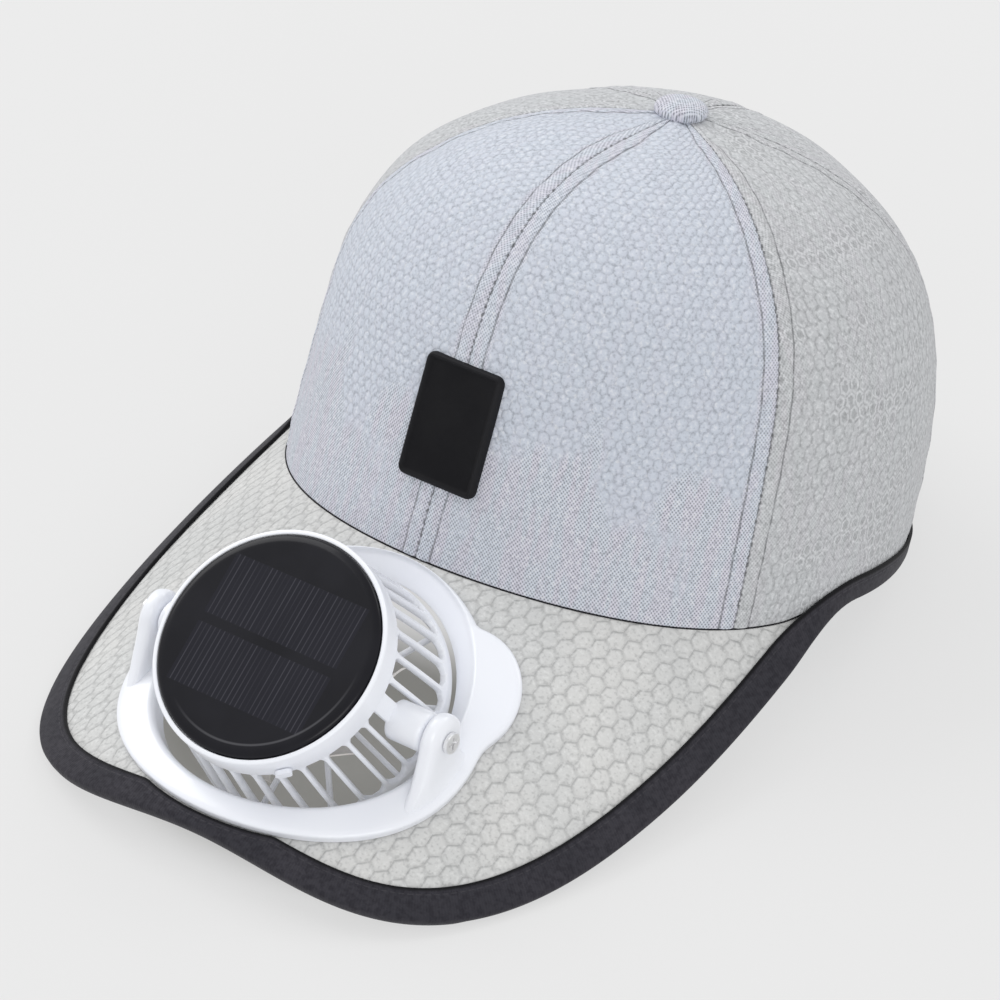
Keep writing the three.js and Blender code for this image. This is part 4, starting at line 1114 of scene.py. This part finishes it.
front_looks = {
    "cell": 3.3, "row": 3.0, "outline": 0.26, "rib": 0.0, "oval": 0.0,
    "weave": 1.0, "weave_fall": 0.0055, "seam_weave": 0.7,
}
side_looks = {
    "cell": 3.7, "row": 4.2, "outline": 0.36, "rib": 0.35, "oval": 0.30,
    "weave": 0.25, "weave_fall": 0.0, "seam_weave": 0.4,
}
front_cloth = crown_finish("front mesh cloth", (0.575, 0.615, 0.69), (0.60, 0.59, 0.675), front_looks)
side_cloth = crown_finish("side mesh cloth", (0.555, 0.57, 0.585), (0.565, 0.55, 0.585), side_looks)
brim_mesh = brim_finish()
tape = tape_finish()
rubber = rubber_finish()
white_plastic = plastic_finish("glossy white plastic", (0.88, 0.90, 0.95), (0.86, 0.88, 0.94), 0.26, 0.35)
fan_plastic = plastic_finish("satin off-white plastic", (0.80, 0.77, 0.73), (0.77, 0.74, 0.70), 0.4, 0.1)
solar = solar_finish()
steel = steel_finish()

# Pieces
panels = [
    ("crown_front_left", 0, front_cloth, "front_mesh"),
    ("crown_side_left", 1, side_cloth, "side_mesh"),
    ("crown_back_left", 2, side_cloth, "side_mesh"),
    ("crown_back_right", -3, side_cloth, "side_mesh"),
    ("crown_side_right", -2, side_cloth, "side_mesh"),
    ("crown_front_right", -1, front_cloth, "front_mesh"),
]
for node, place, finish, slot in panels:
    make_piece(node + "_cloth", [crown_cloth(place * PANEL_ANGLE)], finish, slot, "hat", node, sharp=60)
make_piece("crown_piping", [crown_piping()], tape, "edge_tape", "hat")
make_piece("top_button_cloth", [button_cloth()], front_cloth, "front_mesh", "hat", "top_button")
make_piece("brim_cloth", [brim_cloth()], brim_mesh, "brim_mesh", "hat", "brim", sharp=60)
make_piece("edge_tape_band", [edge_tape()], tape, "edge_tape", "hat", "brim_binding", "hem_binding", sharp=60)
make_piece("label_patch", [label_patch()], rubber, "label_rubber", "hat", "front_label")
frame_parts = [frame_plate(), ear_lug(1), ear_lug(-1)]
make_piece("fan_frame_plate", frame_parts, white_plastic, "white_plastic", "hat", "fan_frame")
make_piece("fan_housing_shell", housing_parts(), white_plastic, "white_plastic", "fan", "fan_housing")
make_piece("solar_disc", [solar_disc()], solar, "solar_disc", "fan", "solar_panel", sharp=50)
make_piece("fan_rotor_blades", rotor_parts(), fan_plastic, "fan_plastic", "rotor", "fan_rotor")


def refinish(node, material):
    """A frame node that keeps its shape gets its finish in its own slots."""
    target = frame["nodes"][node]
    slots = target.material_slots
    if not slots:
        target.data.materials.append(material)
    for slot in slots:
        slot.material = material


refinish("ear_screw_left", steel)
refinish("ear_screw_right", steel)
refinish("power_button", white_plastic)


# Floor, light and camera

def stage_floor():
    """A flat floor seven metres wide, pale and faintly uneven. It glows a little, evenly, except for a painted
    shadow under the fan where the glow is dimmer.
    """
    side = np.linspace(-3.5, 3.5, 3)
    x, y = np.meshgrid(side, side, indexing="ij")
    part = surface(np.stack([x, y, 0 * x], -1))
    mesh = bpy.data.meshes.new("floor")
    mesh.from_pydata(part["points"].tolist(), [], part["faces"].tolist())
    made = Finish("pale floor")
    slow = made.noise(3, 2.0, 0.5)
    tone = made.blend(slow.rising(0.3, 0.7), (0.19, 0.19, 0.19), (0.185, 0.185, 0.185))
    x, y = made.plan()
    # painted shadow: the glow falls to a dim warm tone in an oval under the fan and brim
    across, along = x / 0.066, (y + 0.075) / 0.050
    away = (across * across + along * along).power(0.5)
    glow_with_painted_shadow = made.blend(away.rising(0.75, 1.35), (0.27, 0.265, 0.245), (1.0, 1.0, 1.0))
    mesh.materials.append(made.done(
        base_color=tone, roughness=0.9, specular_ior_level=0.1, emission_color=glow_with_painted_shadow, emission_strength=0.61,
    ))
    floor = bpy.data.objects.new("floor", mesh)
    bpy.context.scene.collection.objects.link(floor)


def area_light(name, place, target, width, height, power, colour=(1, 1, 1)):
    """A rectangular lamp at a place, facing a target, in metres."""
    lamp = bpy.data.lights.new(name, "AREA")
    lamp.shape = "RECTANGLE"
    lamp.size, lamp.size_y, lamp.energy, lamp.color = width, height, power, colour
    held = bpy.data.objects.new(name, lamp)
    place, target = np.array(place, float), np.array(target, float)
    back = unit(place - target)
    right = unit(np.cross([0, 0, 1], back))
    up = np.cross(back, right)
    turn = np.eye(4)
    turn[:3, :3] = np.stack([right, up, back], 1)
    turn[:3, 3] = place
    held.matrix_world = Matrix(turn.tolist())
    bpy.context.scene.collection.objects.link(held)


def photo_camera():
    """The camera, given as two angles and a distance, turned with the cap's pitch."""
    azimuth, elevation, distance = np.radians(36.6), np.radians(34.4), 1.8388
    origin = CAP_PLACE / 1000
    level = np.array([np.sin(azimuth), -np.cos(azimuth), 0])
    back = level * np.cos(elevation) + np.array([0, 0, np.sin(elevation)])
    right = np.array([np.cos(azimuth), np.sin(azimuth), 0])
    up = np.cross(back, right)
    place = -0.02762 * right - 0.00029 * up + distance * back
    extra = PITCH - np.radians(11.97)
    c, s = np.cos(extra), np.sin(extra)
    turn = np.array([[1, 0, 0], [0, c, s], [0, -s, c]])
    matrix = np.eye(4)
    matrix[:3, :3] = turn @ np.stack([right, up, back], 1)
    matrix[:3, 3] = turn @ place + origin
    lens = bpy.data.cameras.new("camera")
    lens.sensor_width = 36
    lens.lens = 6333.6 * 36 / 1000
    lens.clip_end = 50
    held = bpy.data.objects.new("camera", lens)
    held.matrix_world = Matrix(matrix.tolist())
    bpy.context.scene.collection.objects.link(held)
    bpy.context.scene.camera = held


stage_floor()
area_light("key light", (-1.9, 0.2, 1.9), (0, 0, 0.05), 1.8, 1.8, 29)
area_light("fill light", (1.5, -1.7, 1.2), (0, 0, 0.05), 1.6, 1.0, 15)
area_light("back light", (0.4, 1.9, 1.8), (0, 0, 0.05), 1.6, 1.0, 10)
photo_camera()
sky = bpy.data.worlds.new("soft room")
sky.use_nodes = True
sky.node_tree.nodes["Background"].inputs["Color"].default_value = (1, 1, 1, 1)
sky.node_tree.nodes["Background"].inputs["Strength"].default_value = 0.72
bpy.context.scene.world = sky
bpy.context.scene.view_settings.view_transform = "Standard"
